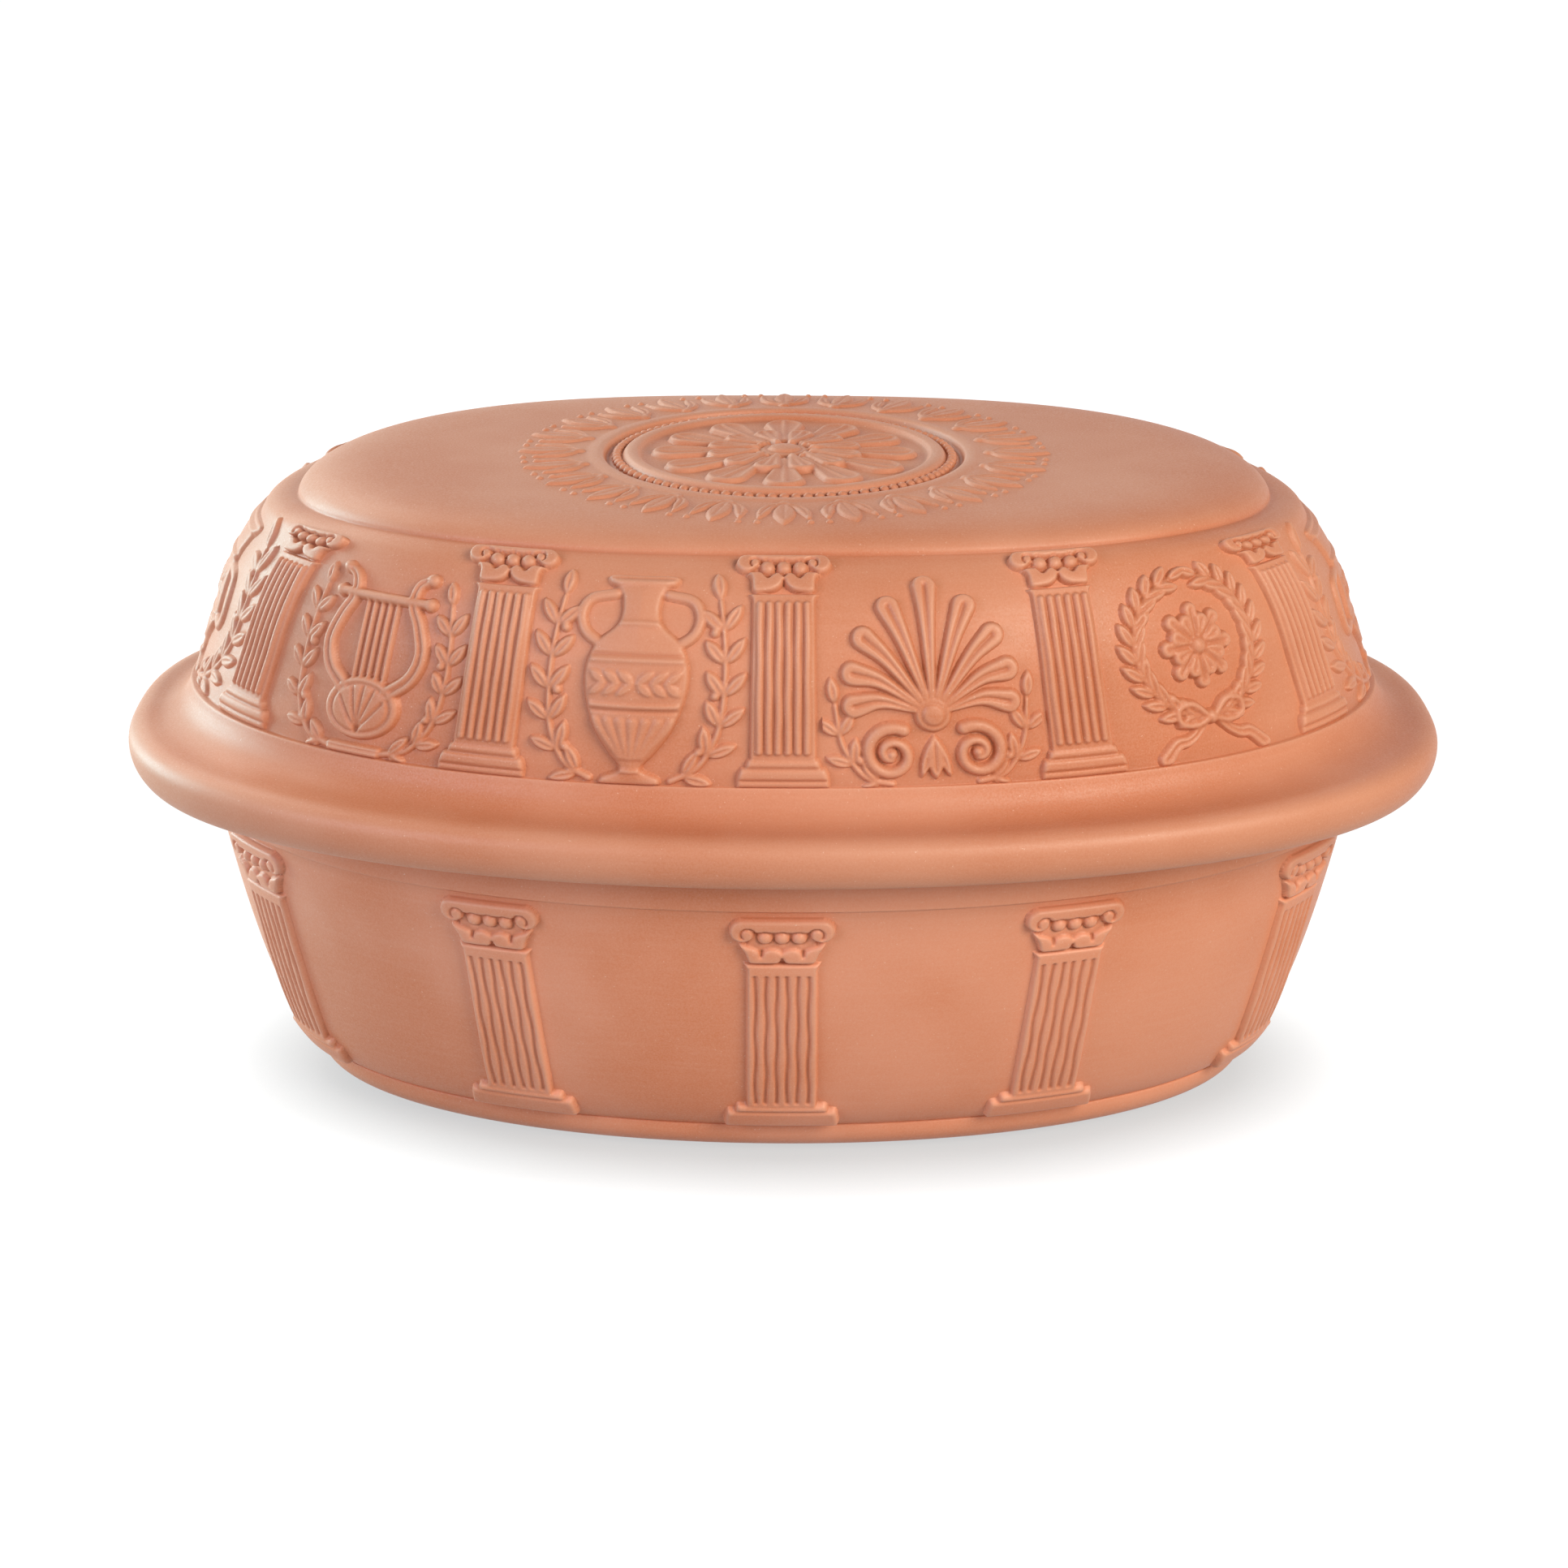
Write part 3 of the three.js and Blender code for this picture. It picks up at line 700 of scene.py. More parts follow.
# A curve through all of its points.
def smoothLine(points, steps=8):
    points = np.asarray(points, float)
    padded = np.concatenate([2 * points[:1] - points[1:2], points, 2 * points[-1:] - points[-2:-1]])
    share = np.linspace(0, 1, steps, endpoint=False)[:, None]
    pieces = []
    for a, b, c, d in zip(padded, padded[1:], padded[2:], padded[3:]):
        pieces.append(0.5 * (2 * b + (c - a) * share + (2 * a - 5 * b + 4 * c - d) * share ** 2
                             + (3 * b - a - 3 * c + d) * share ** 3))
    return np.concatenate(pieces + [points[-1:]])


def spiralLine(centre, radii, start, turns, steps=40):
    share = np.linspace(0, 1, steps + 1)
    radius = radii[0] + (radii[1] - radii[0]) * share
    angle = math.radians(start) + 2 * math.pi * turns * share
    return np.stack([centre[0] + radius * np.cos(angle), centre[1] + radius * np.sin(angle)], 1)


# Turns the plane into one sector of a rosette, with its petal along y.
def petalSector(turn, away, count, shift):
    sector = 2 * math.pi / count
    local = np.mod(turn + shift * sector, sector) - sector / 2
    return away * np.sin(local), away * np.cos(local)


leafRib = {"edge": 1.1, "reach": 0.82, "radii": (0.5, 0.3), "depth": 0.4, "inset": 0.2}


def leafField(x, y, base, tip, width, height):
    base, tip = np.asarray(base, float), np.asarray(tip, float)
    inside = insideLeaf(x, y, base, tip, width)
    rib = insideStroke(x, y, [base, base + leafRib["reach"] * (tip - base)], leafRib["radii"])
    groove = dome(rib, leafRib["radii"][0], leafRib["depth"] * height)
    return rise(inside, height, leafRib["edge"]) - np.where(inside > leafRib["inset"], groove, 0)


# A closed mesh of the raised part of a height field, with its edges run down into the wall behind it.
# Cells that meet at one corner only are joined, so that no point of the border is shared by four edges.
reliefCut = {
    "sink": 0.25, "settled": 0.45, "keep": 0.8, "back": 1.4, "shadingTintCells": 2.2, "raised": 0.4, "lowShadingTint": 0.4,
}


def reliefMesh(name, xs, ys, field, cut=reliefCut):
    low = field + cut["sink"] * (np.clip(field / cut["settled"], 0, 1) - 1)
    spread = np.stack([low[:-1, :-1], low[1:, :-1], low[:-1, 1:], low[1:, 1:]])
    kept = spread.max(0) > -cut["keep"] * cut["sink"]
    blocks = (kept[:-1, :-1], kept[1:, 1:], kept[1:, :-1], kept[:-1, 1:])
    while True:
        a, b, c, d = blocks
        crossing = (a & b & ~c & ~d) | (c & d & ~a & ~b)
        if not crossing.any():
            break
        for block in blocks:
            block |= crossing
    rows, cols = np.nonzero(kept)
    width = len(xs)
    first = rows * width + cols
    quads = np.stack([first, first + 1, first + width + 1, first + width], 1)
    used, renumbered = np.unique(quads, return_inverse=True)
    quads = renumbered.reshape(-1, 4)
    gridX, gridY = np.meshgrid(xs, ys)
    points = np.stack([gridX.ravel()[used], gridY.ravel()[used], low.ravel()[used]], 1)
    # The relief value gives painted shade in hollows and paler raised edges, partly rubbed wear and partly
    # painted highlight; it is weaker on the low border, so that shapes get no dark outline.
    share = np.where(field > cut["raised"], 1, cut["lowShadingTint"])
    shadingTint = ((field - softField(field, cut["shadingTintCells"])) * share).ravel()[used]
    edges = np.concatenate([quads[:, [k, (k + 1) % 4]] for k in range(4)])
    _, where, times = np.unique(np.sort(edges, 1), axis=0, return_index=True, return_counts=True)
    border = edges[where[times == 1]]
    ends = np.unique(border)
    lower = {end: len(points) + k for k, end in enumerate(ends)}
    skirt = [[b, a, lower[a], lower[b]] for a, b in border]
    points = np.concatenate([points, points[ends] * [1, 1, 0] - [0, 0, cut["back"]]])
    mesh = newMesh(name, points, quads.tolist() + skirt, {"relief": np.r_[shadingTint, shadingTint[ends]]})
    work = bmesh.new()
    work.from_mesh(mesh)
    openEdges = [edge for edge in work.edges if edge.is_boundary]
    bmesh.ops.triangle_fill(work, edges=openEdges, use_beauty=False)
    bmesh.ops.recalc_face_normals(work, faces=work.faces)
    work.to_mesh(mesh)
    work.free()
    return mesh


def evenSpan(half, step):
    return np.linspace(-half, half, int(round(2 * half / step)) + 1)


def spacedRows(*stretches):
    rows = []
    for low, high, step in stretches:
        count = max(2, int(round((high - low) / step)) + 1)
        rows.append(np.linspace(low, high, count)[:-1])
    return np.concatenate(rows + [[stretches[-1][1]]])


# Columns of the lid: a stepped base, a shaft with thin ridges, and a capital of scrolls, balls and leaves.
# A base step is its low and high level, its half widths there, and how far it stands off the wall.
lidColumn = {
    "pitch": (89.5, 78.3), "count": 5, "endDrop": 0.06, "endSpread": 3.6, "endLean": 13,
    "step": 0.34, "rows": (0.42, 1.5, 0.32), "width": 26.8, "baseRound": 1.6,
    "base": [(0.2, 2.7, 13.4, 13.4, 1.7), (2.4, 6.3, 13.3, 11.4, 2.4), (6.1, 9.1, 10.9, 9.3, 2.25)],
    "shaftFoot": 8.4, "shaftTop": 57.2, "shaftWidths": (19.1, 17.8), "neckWidth": 20.2, "shaftHeight": 1.7,
    "flutes": 6, "flutePitches": (2.8, 2.7), "fluteWidth": 2.1, "fluteLevels": (11.4, 53.6),
    "fluteHeight": 1.15, "wobble": 0.08,
    "top": 70.3, "scrollWidth": 27.4, "scrollRadius": 3.1, "bar": 2.3, "eye": (8.1, -3.2), "eyeRadius": 1.55,
    "ballRadius": 2.4, "ballPitch": 4.75, "ballDrop": 4.4, "leafFoot": 57.6, "height": 2.3,
    "leaf": [(0, 3.8), (0.6, 2.3), (2.3, 0.8), (4.7, 0.1), (8.6, 0.1), (9.1, 3.8), (9.7, 5.4), (10.7, 6.1),
             (8.4, 6.5), (6.3, 6.3), (4.6, 4.5), (2.9, 5.9), (1.4, 6.2), (0, 4.9)],
}


# Columns of the dish: a lower base, a shaft with narrow grooves, and a taller capital.
dishColumn = {
    "pitch": (80, 88.9), "count": 5, "endDrop": 0.0, "endSpread": 4.5, "endLean": -1,
    "step": 0.42, "rows": (0.45, 1.8, 0.36), "width": 35, "baseRound": 1.5,
    "base": [(5.2, 13.3, 17.4, 16.2, 2.2), (13.1, 16, 14.1, 13, 2.3)],
    "shaftFoot": 15, "shaftTop": 72.7, "shaftWidths": (21.2, 20.9), "neckWidth": 23, "shaftHeight": 1.9,
    "flutes": 6, "flutePitches": (3.2, 3.15), "fluteWidth": 1.5, "fluteLevels": (17.6, 68),
    "fluteHeight": -0.9, "wobble": 0.2,
    "top": 88.8, "scrollWidth": 31.3, "scrollRadius": 3.9, "bar": 4.3, "eye": (10.3, -5), "eyeRadius": 1.9,
    "ballRadius": 2.35, "ballPitch": 5.05, "ballDrop": 6.4, "leafFoot": 73.3, "height": 2.3,
    "leaf": [(0, 2.1), (0.5, 0.9), (1.8, 0.15), (9, 0.1), (10.3, 1.4), (11.1, 3.6), (12.8, 6.9), (10.4, 6.3),
             (8, 5.4), (6.6, 4.2), (6.2, 2.7), (5.7, 4.2), (4.2, 5.3), (2.4, 5.4), (0.8, 4.8), (0, 4.2)],
}


# What the columns of both walls share.
carving = {
    "baseLift": 0.2, "edge": 0.9, "wobbleRate": 0.3, "wobbleTurn": 2.1, "neckFlare": 2.4,
    "shelfFoot": 4, "shelfShare": 0.4, "rollSwell": 0.3,
    "curlStart": 195, "curlTurns": -0.66, "curlGap": 0.3, "curlRadii": (0.55, 0.4), "curlDepth": 1.1,
    "ballGap": 0.4, "ballGapDepth": 0.5, "ballLift": 0.4, "ballFull": 0.1,
    "leafDrop": 0.2, "leafEdge": 0.8, "leafRound": 2.6, "leafSwell": 0.45, "leafSteps": 5,
    "margin": 1.2, "baseRows": 1.5, "capitalRows": 1, "soft": 0.5,
}


def columnField(column, x, y):
    field = np.zeros(x.shape)
    for low, high, wide, narrow, height in column["base"]:
        climb = np.clip((y - low) / (high - low), 0, 1)
        half = narrow + (wide - narrow) * np.sqrt(1 - climb ** 2)
        inside = np.minimum(np.minimum(y - low, high - y), half - np.abs(x))
        field = np.maximum(field, dome(inside + carving["baseLift"], column["baseRound"], height))
    field = np.maximum(field, rise(insideShaft(column, x, y), column["shaftHeight"], carving["edge"]))
    low, high = column["fluteLevels"]
    radius = column["fluteWidth"] / 2
    for k in range(column["flutes"]):
        order = k - (column["flutes"] - 1) / 2
        line = [(order * column["flutePitches"][0], low), (order * column["flutePitches"][1], high)]
        wander = column["wobble"] * np.sin(carving["wobbleRate"] * y + carving["wobbleTurn"] * k)
        field = field + dome(insideStroke(x + wander, y, line, radius), radius, column["fluteHeight"])
    return np.maximum(field, capitalField(column, x, y))


# The shaft widens in a short curve under the capital.
def insideShaft(column, x, y):
    foot, top = column["shaftFoot"], column["shaftTop"]
    lower, upper = column["shaftWidths"]
    flare = np.clip((y - top + carving["neckFlare"]) / carving["neckFlare"], 0, 1) ** 2
    width = lower + (upper - lower) * (y - foot) / (top - foot) + flare * (column["neckWidth"] - upper)
    return np.where(y > foot, np.minimum(width / 2 - np.abs(x), top - y), farOutside)


# The capital: a bar that rolls up at both ends, balls under it, and two leaves with a cleft between them.
def capitalField(column, x, y):
    height = column["height"]
    top = column["top"]
    mirrored = np.abs(x)
    radius = column["scrollRadius"]
    curl = (column["scrollWidth"] / 2 - radius, top - radius)
    eye = (column["eye"][0], top + column["eye"][1])
    eyeRadius = column["eyeRadius"]
    barLevel = top - column["bar"] / 2
    shelf = insideBox(mirrored, y, -1, eye[0], column["leafFoot"] + carving["shelfFoot"], barLevel)
    field = rise(shelf, carving["shelfShare"] * height, carving["edge"])
    roll = insideStroke(mirrored, y, [(0, barLevel), (curl[0], barLevel)], column["bar"] / 2)
    roll = np.maximum(roll, insideDisc(mirrored, y, curl, radius))
    roll = np.maximum(roll, insideDisc(mirrored, y, eye, eyeRadius))
    field = np.maximum(field, rise(roll, height, carving["edge"]) + dome(roll, radius, carving["rollSwell"]))
    groove = spiralLine(
        eye, (eyeRadius + carving["curlGap"], eyeRadius), carving["curlStart"], carving["curlTurns"])
    cut = insideTaper(mirrored, y, groove, carving["curlRadii"])
    field = field - dome(cut, carving["curlRadii"][0], carving["curlDepth"])
    for centre in (0, column["ballPitch"]):
        ball = insideDisc(mirrored, y, (centre, top - column["ballDrop"]), column["ballRadius"])
        gap = np.where(ball > -carving["ballGap"], field - carving["ballGapDepth"], field)
        body = dome(ball + carving["ballFull"], column["ballRadius"], height + carving["ballLift"])
        field = np.where(ball > 0, body, gap)
    side = smoothLine(np.array(column["leaf"]) + [0, column["leafFoot"]], carving["leafSteps"])
    leaf = insideMirrored(x, y, side)
    body = rise(leaf, height - carving["leafDrop"], carving["leafEdge"])
    body = body + dome(leaf, carving["leafRound"], carving["leafSwell"])
    return np.where(leaf > 0, body, np.maximum(field, body))


def columnRow(name, column, carrier, body):
    margin = carving["margin"]
    xs = evenSpan(max(column["width"], column["scrollWidth"]) / 2 + margin, column["step"])
    base, shaft, capital = column["rows"]
    shaftLow = column["fluteLevels"][0] + carving["baseRows"]
    shaftHigh = column["fluteLevels"][1] - carving["capitalRows"]
    ys = spacedRows((column["base"][0][0] - margin, shaftLow, base), (shaftLow, shaftHigh, shaft),
                    (shaftHigh, column["top"] + margin, capital))
    field = columnField(column, *np.meshgrid(xs, ys))
    flat = reliefMesh(name + "_flat", xs, ys, softField(field, carving["soft"]))
    return layRow(name, flat, carrier, column["count"], 0, column["pitch"], body,
                  (column["endDrop"], column["endSpread"], column["endLean"]))


def layRow(name, flat, carrier, count, place, pitch, body, ends=(0.0, 0.0, 0.0)):
    drop, spread, lean = ends
    piece = runTree(name, reliefRow, flat, {
        "Wall": carrier["wall"], "Origin": carrier["origin"], "Span": carrier["span"], "Count": count,
        "Place": float(place), "Foot Pitch": pitch[0] * mm, "Head Pitch": pitch[1] * mm,
        "Wall Height": carrier["length"] * mm, "End Drop": drop, "End Spread": spread * mm,
        "End Lean": lean * mm, "Material": clay[body]})
    return dress(piece, body)


def dress(piece, body):
    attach(piece, body)
    return piece


# A spray of laurel: pairs of leaves and berries along a stem, and one leaf at its end.
laurel = {
    "stemRadii": (1.1, 0.6), "stemShare": 0.75, "stemEdge": 1.0, "firstPair": 0.35, "leafStart": 0.4,
    "berryTurn": 1.45, "berryRadius": 1.5, "berryShare": 1.1,
}


def pointAlong(line, reach, at):
    return np.array([np.interp(at, reach, line[:, i]) for i in (0, 1)])


def unitWay(angle):
    return np.array([math.cos(angle), math.sin(angle)])


def sprayField(spray, x, y):
    stem = smoothLine(spray["stem"])
    height = spray["height"]
    twig = insideTaper(x, y, stem, laurel["stemRadii"])
    field = rise(twig, laurel["stemShare"] * height, laurel["stemEdge"])
    reach = np.r_[0, np.cumsum(np.linalg.norm(np.diff(stem, axis=0), axis=1))]
    length, width = spray["leaf"]
    for k in range(spray["pairs"] + 1):
        at = reach[-1] * (k + laurel["firstPair"]) / (spray["pairs"] + laurel["firstPair"])
        spot = pointAlong(stem, reach, at)
        ahead = pointAlong(stem, reach, min(at + 1, reach[-1])) - pointAlong(stem, reach, at - 1)
        heading = math.atan2(ahead[1], ahead[0])
        last = k == spray["pairs"]
        for turn in ([0] if last else [spray["spread"], -spray["spread"]]):
            way = unitWay(heading + math.radians(turn))
            leaf = leafField(x, y, spot + laurel["leafStart"] * way, spot + length * way, width, height)
            field = np.maximum(field, leaf)
        if k in spray["berries"]:
            berry = spot + spray["berryReach"] * unitWay(heading + laurel["berryTurn"])
            ball = ballField(x, y, berry, laurel["berryRadius"], laurel["berryShare"] * height)
            field = np.maximum(field, ball)
    return field


# Jars: a turned outline that swells from the wall, with handles, raised bands and gadroons round the foot.
turning = {
    "edge": 1.2, "bandInset": 0.7, "bandHeight": 0.55, "bandHalf": 0.85,
    "lineInset": 0.5, "lineDepth": 0.45, "lineHalf": 0.6,
    "gadroonRadii": (0.7, 1.5), "gadroonInset": 0.4, "gadroonRound": 1.3, "gadroonHeight": 0.5,
    "leafStart": 0.4, "leafReach": 5.2, "leafRise": 3.4, "leafWidth": 2.4, "leafHeight": 0.75,
    "leafInset": 1.2, "handleFull": 0.2, "handleLift": 0.3,
}


def jarField(jar, x, y):
    mirrored = np.abs(x)
    inside = insideMirrored(x, y, smoothLine(jar["outline"]))
    field = rise(inside, jar["height"], turning["edge"]) + dome(inside, jar["belly"], jar["swell"])
    for level in jar["bands"]:
        band = turning["bandHeight"] * bump(y - level, turning["bandHalf"])
        field = field + np.where(inside > turning["bandInset"], band, 0)
    for level in jar["lines"]:
        line = turning["lineDepth"] * bump(y - level, turning["lineHalf"])
        field = field - np.where(inside > turning["lineInset"], line, 0)
    low, high = jar["gadroonLevels"]
    for k in range(jar["gadroons"] + 1):
        line = [(k * jar["gadroonPitch"][0], low), (k * jar["gadroonPitch"][1], high)]
        ridge = insideStroke(mirrored, y, line, turning["gadroonRadii"])
        gadroon = dome(ridge, turning["gadroonRound"], turning["gadroonHeight"])
        field = field + np.where(inside > turning["gadroonInset"], gadroon, 0)
    for k in range(jar["garland"]):
        spot = jar["garlandPitch"] * k
        base = (spot + turning["leafStart"], jar["garlandLevel"])
        for way in (1, -1):
            tip = (spot + turning["leafReach"], jar["garlandLevel"] + turning["leafRise"] * way)
            leaf = leafField(mirrored, y, base, tip, turning["leafWidth"], turning["leafHeight"])
            field = field + np.where(inside > turning["leafInset"], np.maximum(leaf, 0), 0)
    handle = insideStroke(mirrored, y, smoothLine(jar["handle"]), jar["handleRadius"])
    body = dome(handle + turning["handleFull"], jar["handleRadius"], jar["height"] + turning["handleLift"])
    return np.maximum(np.maximum(field, body), sprayField(jar["spray"], mirrored, y))


amphora = {
    "place": -0.5, "reach": 32, "height": 1.15, "belly": 13, "swell": 1.15,
    "outline": [(0, 0), (8.2, 0), (8.4, 2.4), (4.4, 4.2), (3.6, 6), (6.5, 9.5), (11.4, 17), (14.6, 27),
                (15, 35), (12.4, 42), (7.4, 46.5), (5.6, 50), (5.8, 55), (7.2, 58), (9.6, 59.6), (9.6, 62.4),
                (0, 62.6)],
    "bands": (4.6, 24.4, 37.2, 47.4, 59.4), "lines": (22.8, 38.8, 61.2),
    "gadroons": 3, "gadroonPitch": (1.1, 3.7), "gadroonLevels": (8.6, 19.5),
    "garland": 3, "garlandPitch": 4.1, "garlandLevel": 30.8,
    "handle": [(11.4, 41.6), (15.8, 45), (17.2, 50), (14.6, 54.8), (7.6, 56.6)], "handleRadius": 1.5,
    "spray": {
        "stem": [(12, 1.6), (19.5, 6), (24.4, 16), (25.6, 29), (24.8, 42), (22.6, 55)], "pairs": 6,
        "leaf": (9.4, 3.7), "spread": 38, "height": 1.45, "berries": (1, 3, 5), "berryReach": 2.6},
}
krater = {
    "reach": 52, "boldness": 0.9, "height": 1.15, "belly": 16, "swell": 0.9,
    "outline": [(0, 0), (10.6, 0), (11, 3), (5.4, 5.4), (4.4, 8.4), (8.4, 12.4), (14.6, 18), (17.4, 25),
                (17, 34), (17.6, 44), (21.4, 51.4), (23.6, 53), (23.6, 56.6), (0, 56.8)],
    "bands": (5.8, 22.6, 42.4, 53), "lines": (21, 44, 55),
    "gadroons": 4, "gadroonPitch": (1.2, 3.7), "gadroonLevels": (11.6, 18.6),
    "garland": 3, "garlandPitch": 4.6, "garlandLevel": 32.4,
    "handle": [(16.4, 22), (23.6, 21.4), (26.6, 28), (25, 37), (17.4, 39.6)], "handleRadius": 1.7,
    "spray": {
        "stem": [(14, 2), (26, 4.4), (37, 12), (43, 24), (44, 38), (39, 52)], "pairs": 8,
        "leaf": (11, 4.2), "spread": 38, "height": 1.45, "berries": (1, 3, 5, 7), "berryReach": 3},
}


# Palmette: a fan of rounded petals over a pair of scrolls, with a small spray on either side.
# A lower leaf is its tip and its width.
palmette = {
    "place": 0.5, "reach": 32, "height": 1.75, "hub": (0, 22), "hubRadius": 5.6, "hubLift": 0.8,
    "hubLine": 0.62, "hubLineHalf": 0.6, "hubLineDepth": 0.5,
    "petals": 4, "spread": 18.5, "lengths": (41, 25.5), "petalRadii": (1.0, 3.5), "petalStart": 5.5,
    "petalMiddle": 0.6, "petalDroop": (0.35, -0.8), "petalEdge": 1.2, "petalCut": (-0.5, 0.3),
    "veinRadii": (0.3, 0.75), "veinDepth": 0.75,
    "scroll": (12.6, 10.2), "scrollRadii": (8.2, 1.5), "scrollStart": 118, "scrollTurns": -1.55,
    "coilRadii": (1.9, 1.25), "coilRound": 1.8, "coilFull": 0.15, "coilLift": 0.25,
    "eye": 1.7, "eyeLift": 0.5,
    "lowerLeaves": [((0, 2.2), 5.2), ((4.4, 2.6), 3.2)], "lowerRoot": (0, 15.5), "lowerShare": 0.9,
    "spray": {
        "stem": [(13, 1), (21, 3.6), (26.6, 13), (28, 25)], "pairs": 3,
        "leaf": (8.4, 3.5), "spread": 40, "height": 1.4, "berries": (1,), "berryReach": 2.4},
}


def palmetteField(palmette, x, y):
    mirrored = np.abs(x)
    height = palmette["height"]
    hub = np.array(palmette["hub"], float)
    field = sprayField(palmette["spray"], mirrored, y)
    longest, shortest = palmette["lengths"]
    outside, within = palmette["petalCut"]
    for k in range(palmette["petals"], -1, -1):
        angle = math.radians(k * palmette["spread"])
        length = longest + (shortest - longest) * k / palmette["petals"]
        way = np.array([math.sin(angle), math.cos(angle)])
        end = hub + (length - palmette["petalRadii"][1]) * way + k * np.array(palmette["petalDroop"])
        line = smoothLine([
            hub + palmette["petalStart"] * way, hub + palmette["petalMiddle"] * length * way, end])
        petal = insideTaper(mirrored, y, line, palmette["petalRadii"])
        vein = insideTaper(mirrored, y, line, palmette["veinRadii"])
        body = rise(petal, height, palmette["petalEdge"])
        body = body - dome(vein, palmette["veinRadii"][1], palmette["veinDepth"])
        field = np.where(petal > outside, np.maximum(body, field * (petal < within)), field)
    scroll = spiralLine(
        palmette["scroll"], palmette["scrollRadii"], palmette["scrollStart"], palmette["scrollTurns"])
    coil = insideTaper(mirrored, y, scroll, palmette["coilRadii"]) + palmette["coilFull"]
    field = np.maximum(field, dome(coil, palmette["coilRound"], height + palmette["coilLift"]))
    eye = ballField(mirrored, y, palmette["scroll"], palmette["eye"], height + palmette["eyeLift"])
    boss = ballField(x, y, hub, palmette["hubRadius"], height + palmette["hubLift"])
    field = np.maximum(np.maximum(field, eye), boss)
    ring = insideDisc(x, y, hub, palmette["hubLine"] * palmette["hubRadius"])
    field = field - palmette["hubLineDepth"] * bump(ring, palmette["hubLineHalf"])
    for tip, width in palmette["lowerLeaves"]:
        leaf = leafField(mirrored, y, palmette["lowerRoot"], tip, width, palmette["lowerShare"] * height)
        field = np.maximum(field, leaf)
    return field


# Lyre: two curved arms on a round sound box, with a crossbar, strings and sprays on either side.
# The foot is its left, right, low and high edge and the radius of its corners.
lyre = {
    "place": -1.48, "reach": 32, "height": 1.6, "edge": 1.2,
    "strings": 3, "stringPitch": 2.7, "stringLevels": (17, 46.8), "stringRadius": 0.65, "stringFull": 0.1,
    "stringShare": 0.75,
    "box": (0, 14.5), "boxSize": (13.2, 9.6), "boxShare": 0.8, "boxSwell": 0.9,
    "boxLine": 2.2, "boxLineHalf": 0.6, "boxLineDepth": 0.5,
    "rays": 3, "rayRoot": 7.4, "rayPitch": 3.7, "rayTop": 21.4, "rayFall": 1.1, "rayRadius": 0.6,
    "rayInset": 2.6, "rayDepth": 0.55,
    "arm": [(8, 20), (14.4, 25.6), (16.6, 33), (14, 41), (10.8, 47), (11.6, 53), (15.4, 55.6)],
    "armRadii": (2.5, 1.6), "armLift": 0.15, "veinRadii": (0.7, 0.4), "veinDepth": 0.6,
    "tip": 2.4, "tipLift": 0.5, "knob": 2.2, "knobLift": 0.55,
    "bar": 47.8, "barReach": 16.2, "barRadius": 1.5, "barFull": 0.15, "barLift": 0.4,
    "foot": (-9.5, 9.5, -2, 3.2, 0.6), "footEdge": 1.1,
    "footLine": 2, "footLineHalf": 0.5, "footLineDepth": 0.45,
    "spray": {
        "stem": [(9, 1.4), (18, 4), (24.4, 13), (26, 26), (25, 38), (23.2, 48)], "pairs": 6,
        "leaf": (8.4, 3.5), "spread": 36, "height": 1.4, "berries": (2, 4), "berryReach": 2.4},
}


def lyreField(lyre, x, y):
    mirrored = np.abs(x)
    height = lyre["height"]
    field = sprayField(lyre["spray"], mirrored, y)
    low, high = lyre["stringLevels"]
    for k in range(lyre["strings"]):
        line = [(k * lyre["stringPitch"], low), (k * lyre["stringPitch"], high)]
        string = insideStroke(mirrored, y, line, lyre["stringRadius"]) + lyre["stringFull"]
        field = np.maximum(field, dome(string, lyre["stringRadius"], lyre["stringShare"] * height))
    centre, size = lyre["box"], lyre["boxSize"]
    oval = (1 - np.hypot((x - centre[0]) / size[0], (y - centre[1]) / size[1])) * size[1]
    box = rise(oval, lyre["boxShare"] * height, lyre["edge"]) + dome(oval, size[1], lyre["boxSwell"])
    line = lyre["boxLineDepth"] * bump(oval - lyre["boxLine"], lyre["boxLineHalf"])
    field = np.maximum(field, box - line)
    for k in range(lyre["rays"]):
        end = (k * lyre["rayPitch"], lyre["rayTop"] - lyre["rayFall"] * k * k)
        ray = insideStroke(mirrored, y, [(0, lyre["rayRoot"]), end], lyre["rayRadius"])
        groove = dome(ray, lyre["rayRadius"], lyre["rayDepth"])
        field = field - np.where(oval > lyre["rayInset"], groove, 0)
    arm = smoothLine(lyre["arm"])
    limb = rise(insideTaper(mirrored, y, arm, lyre["armRadii"]), height + lyre["armLift"], lyre["edge"])
    vein = insideTaper(mirrored, y, arm, lyre["veinRadii"])
    field = np.maximum(field, limb - dome(vein, lyre["veinRadii"][0], lyre["veinDepth"]))
    field = np.maximum(field, ballField(mirrored, y, arm[-1], lyre["tip"], height + lyre["tipLift"]))
    barEnd = (lyre["barReach"], lyre["bar"])
    bar = insideStroke(mirrored, y, [(0, lyre["bar"]), barEnd], lyre["barRadius"]) + lyre["barFull"]
    field = np.maximum(field, dome(bar, lyre["barRadius"], height + lyre["barLift"]))
    field = np.maximum(field, ballField(mirrored, y, barEnd, lyre["knob"], height + lyre["knobLift"]))
    foot = insideBox(x, y, *lyre["foot"])
    line = lyre["footLineDepth"] * bump(y - lyre["footLine"], lyre["footLineHalf"])
    return np.maximum(field, rise(foot, height, lyre["footEdge"]) - line * (foot > lyre["foot"][-1]))


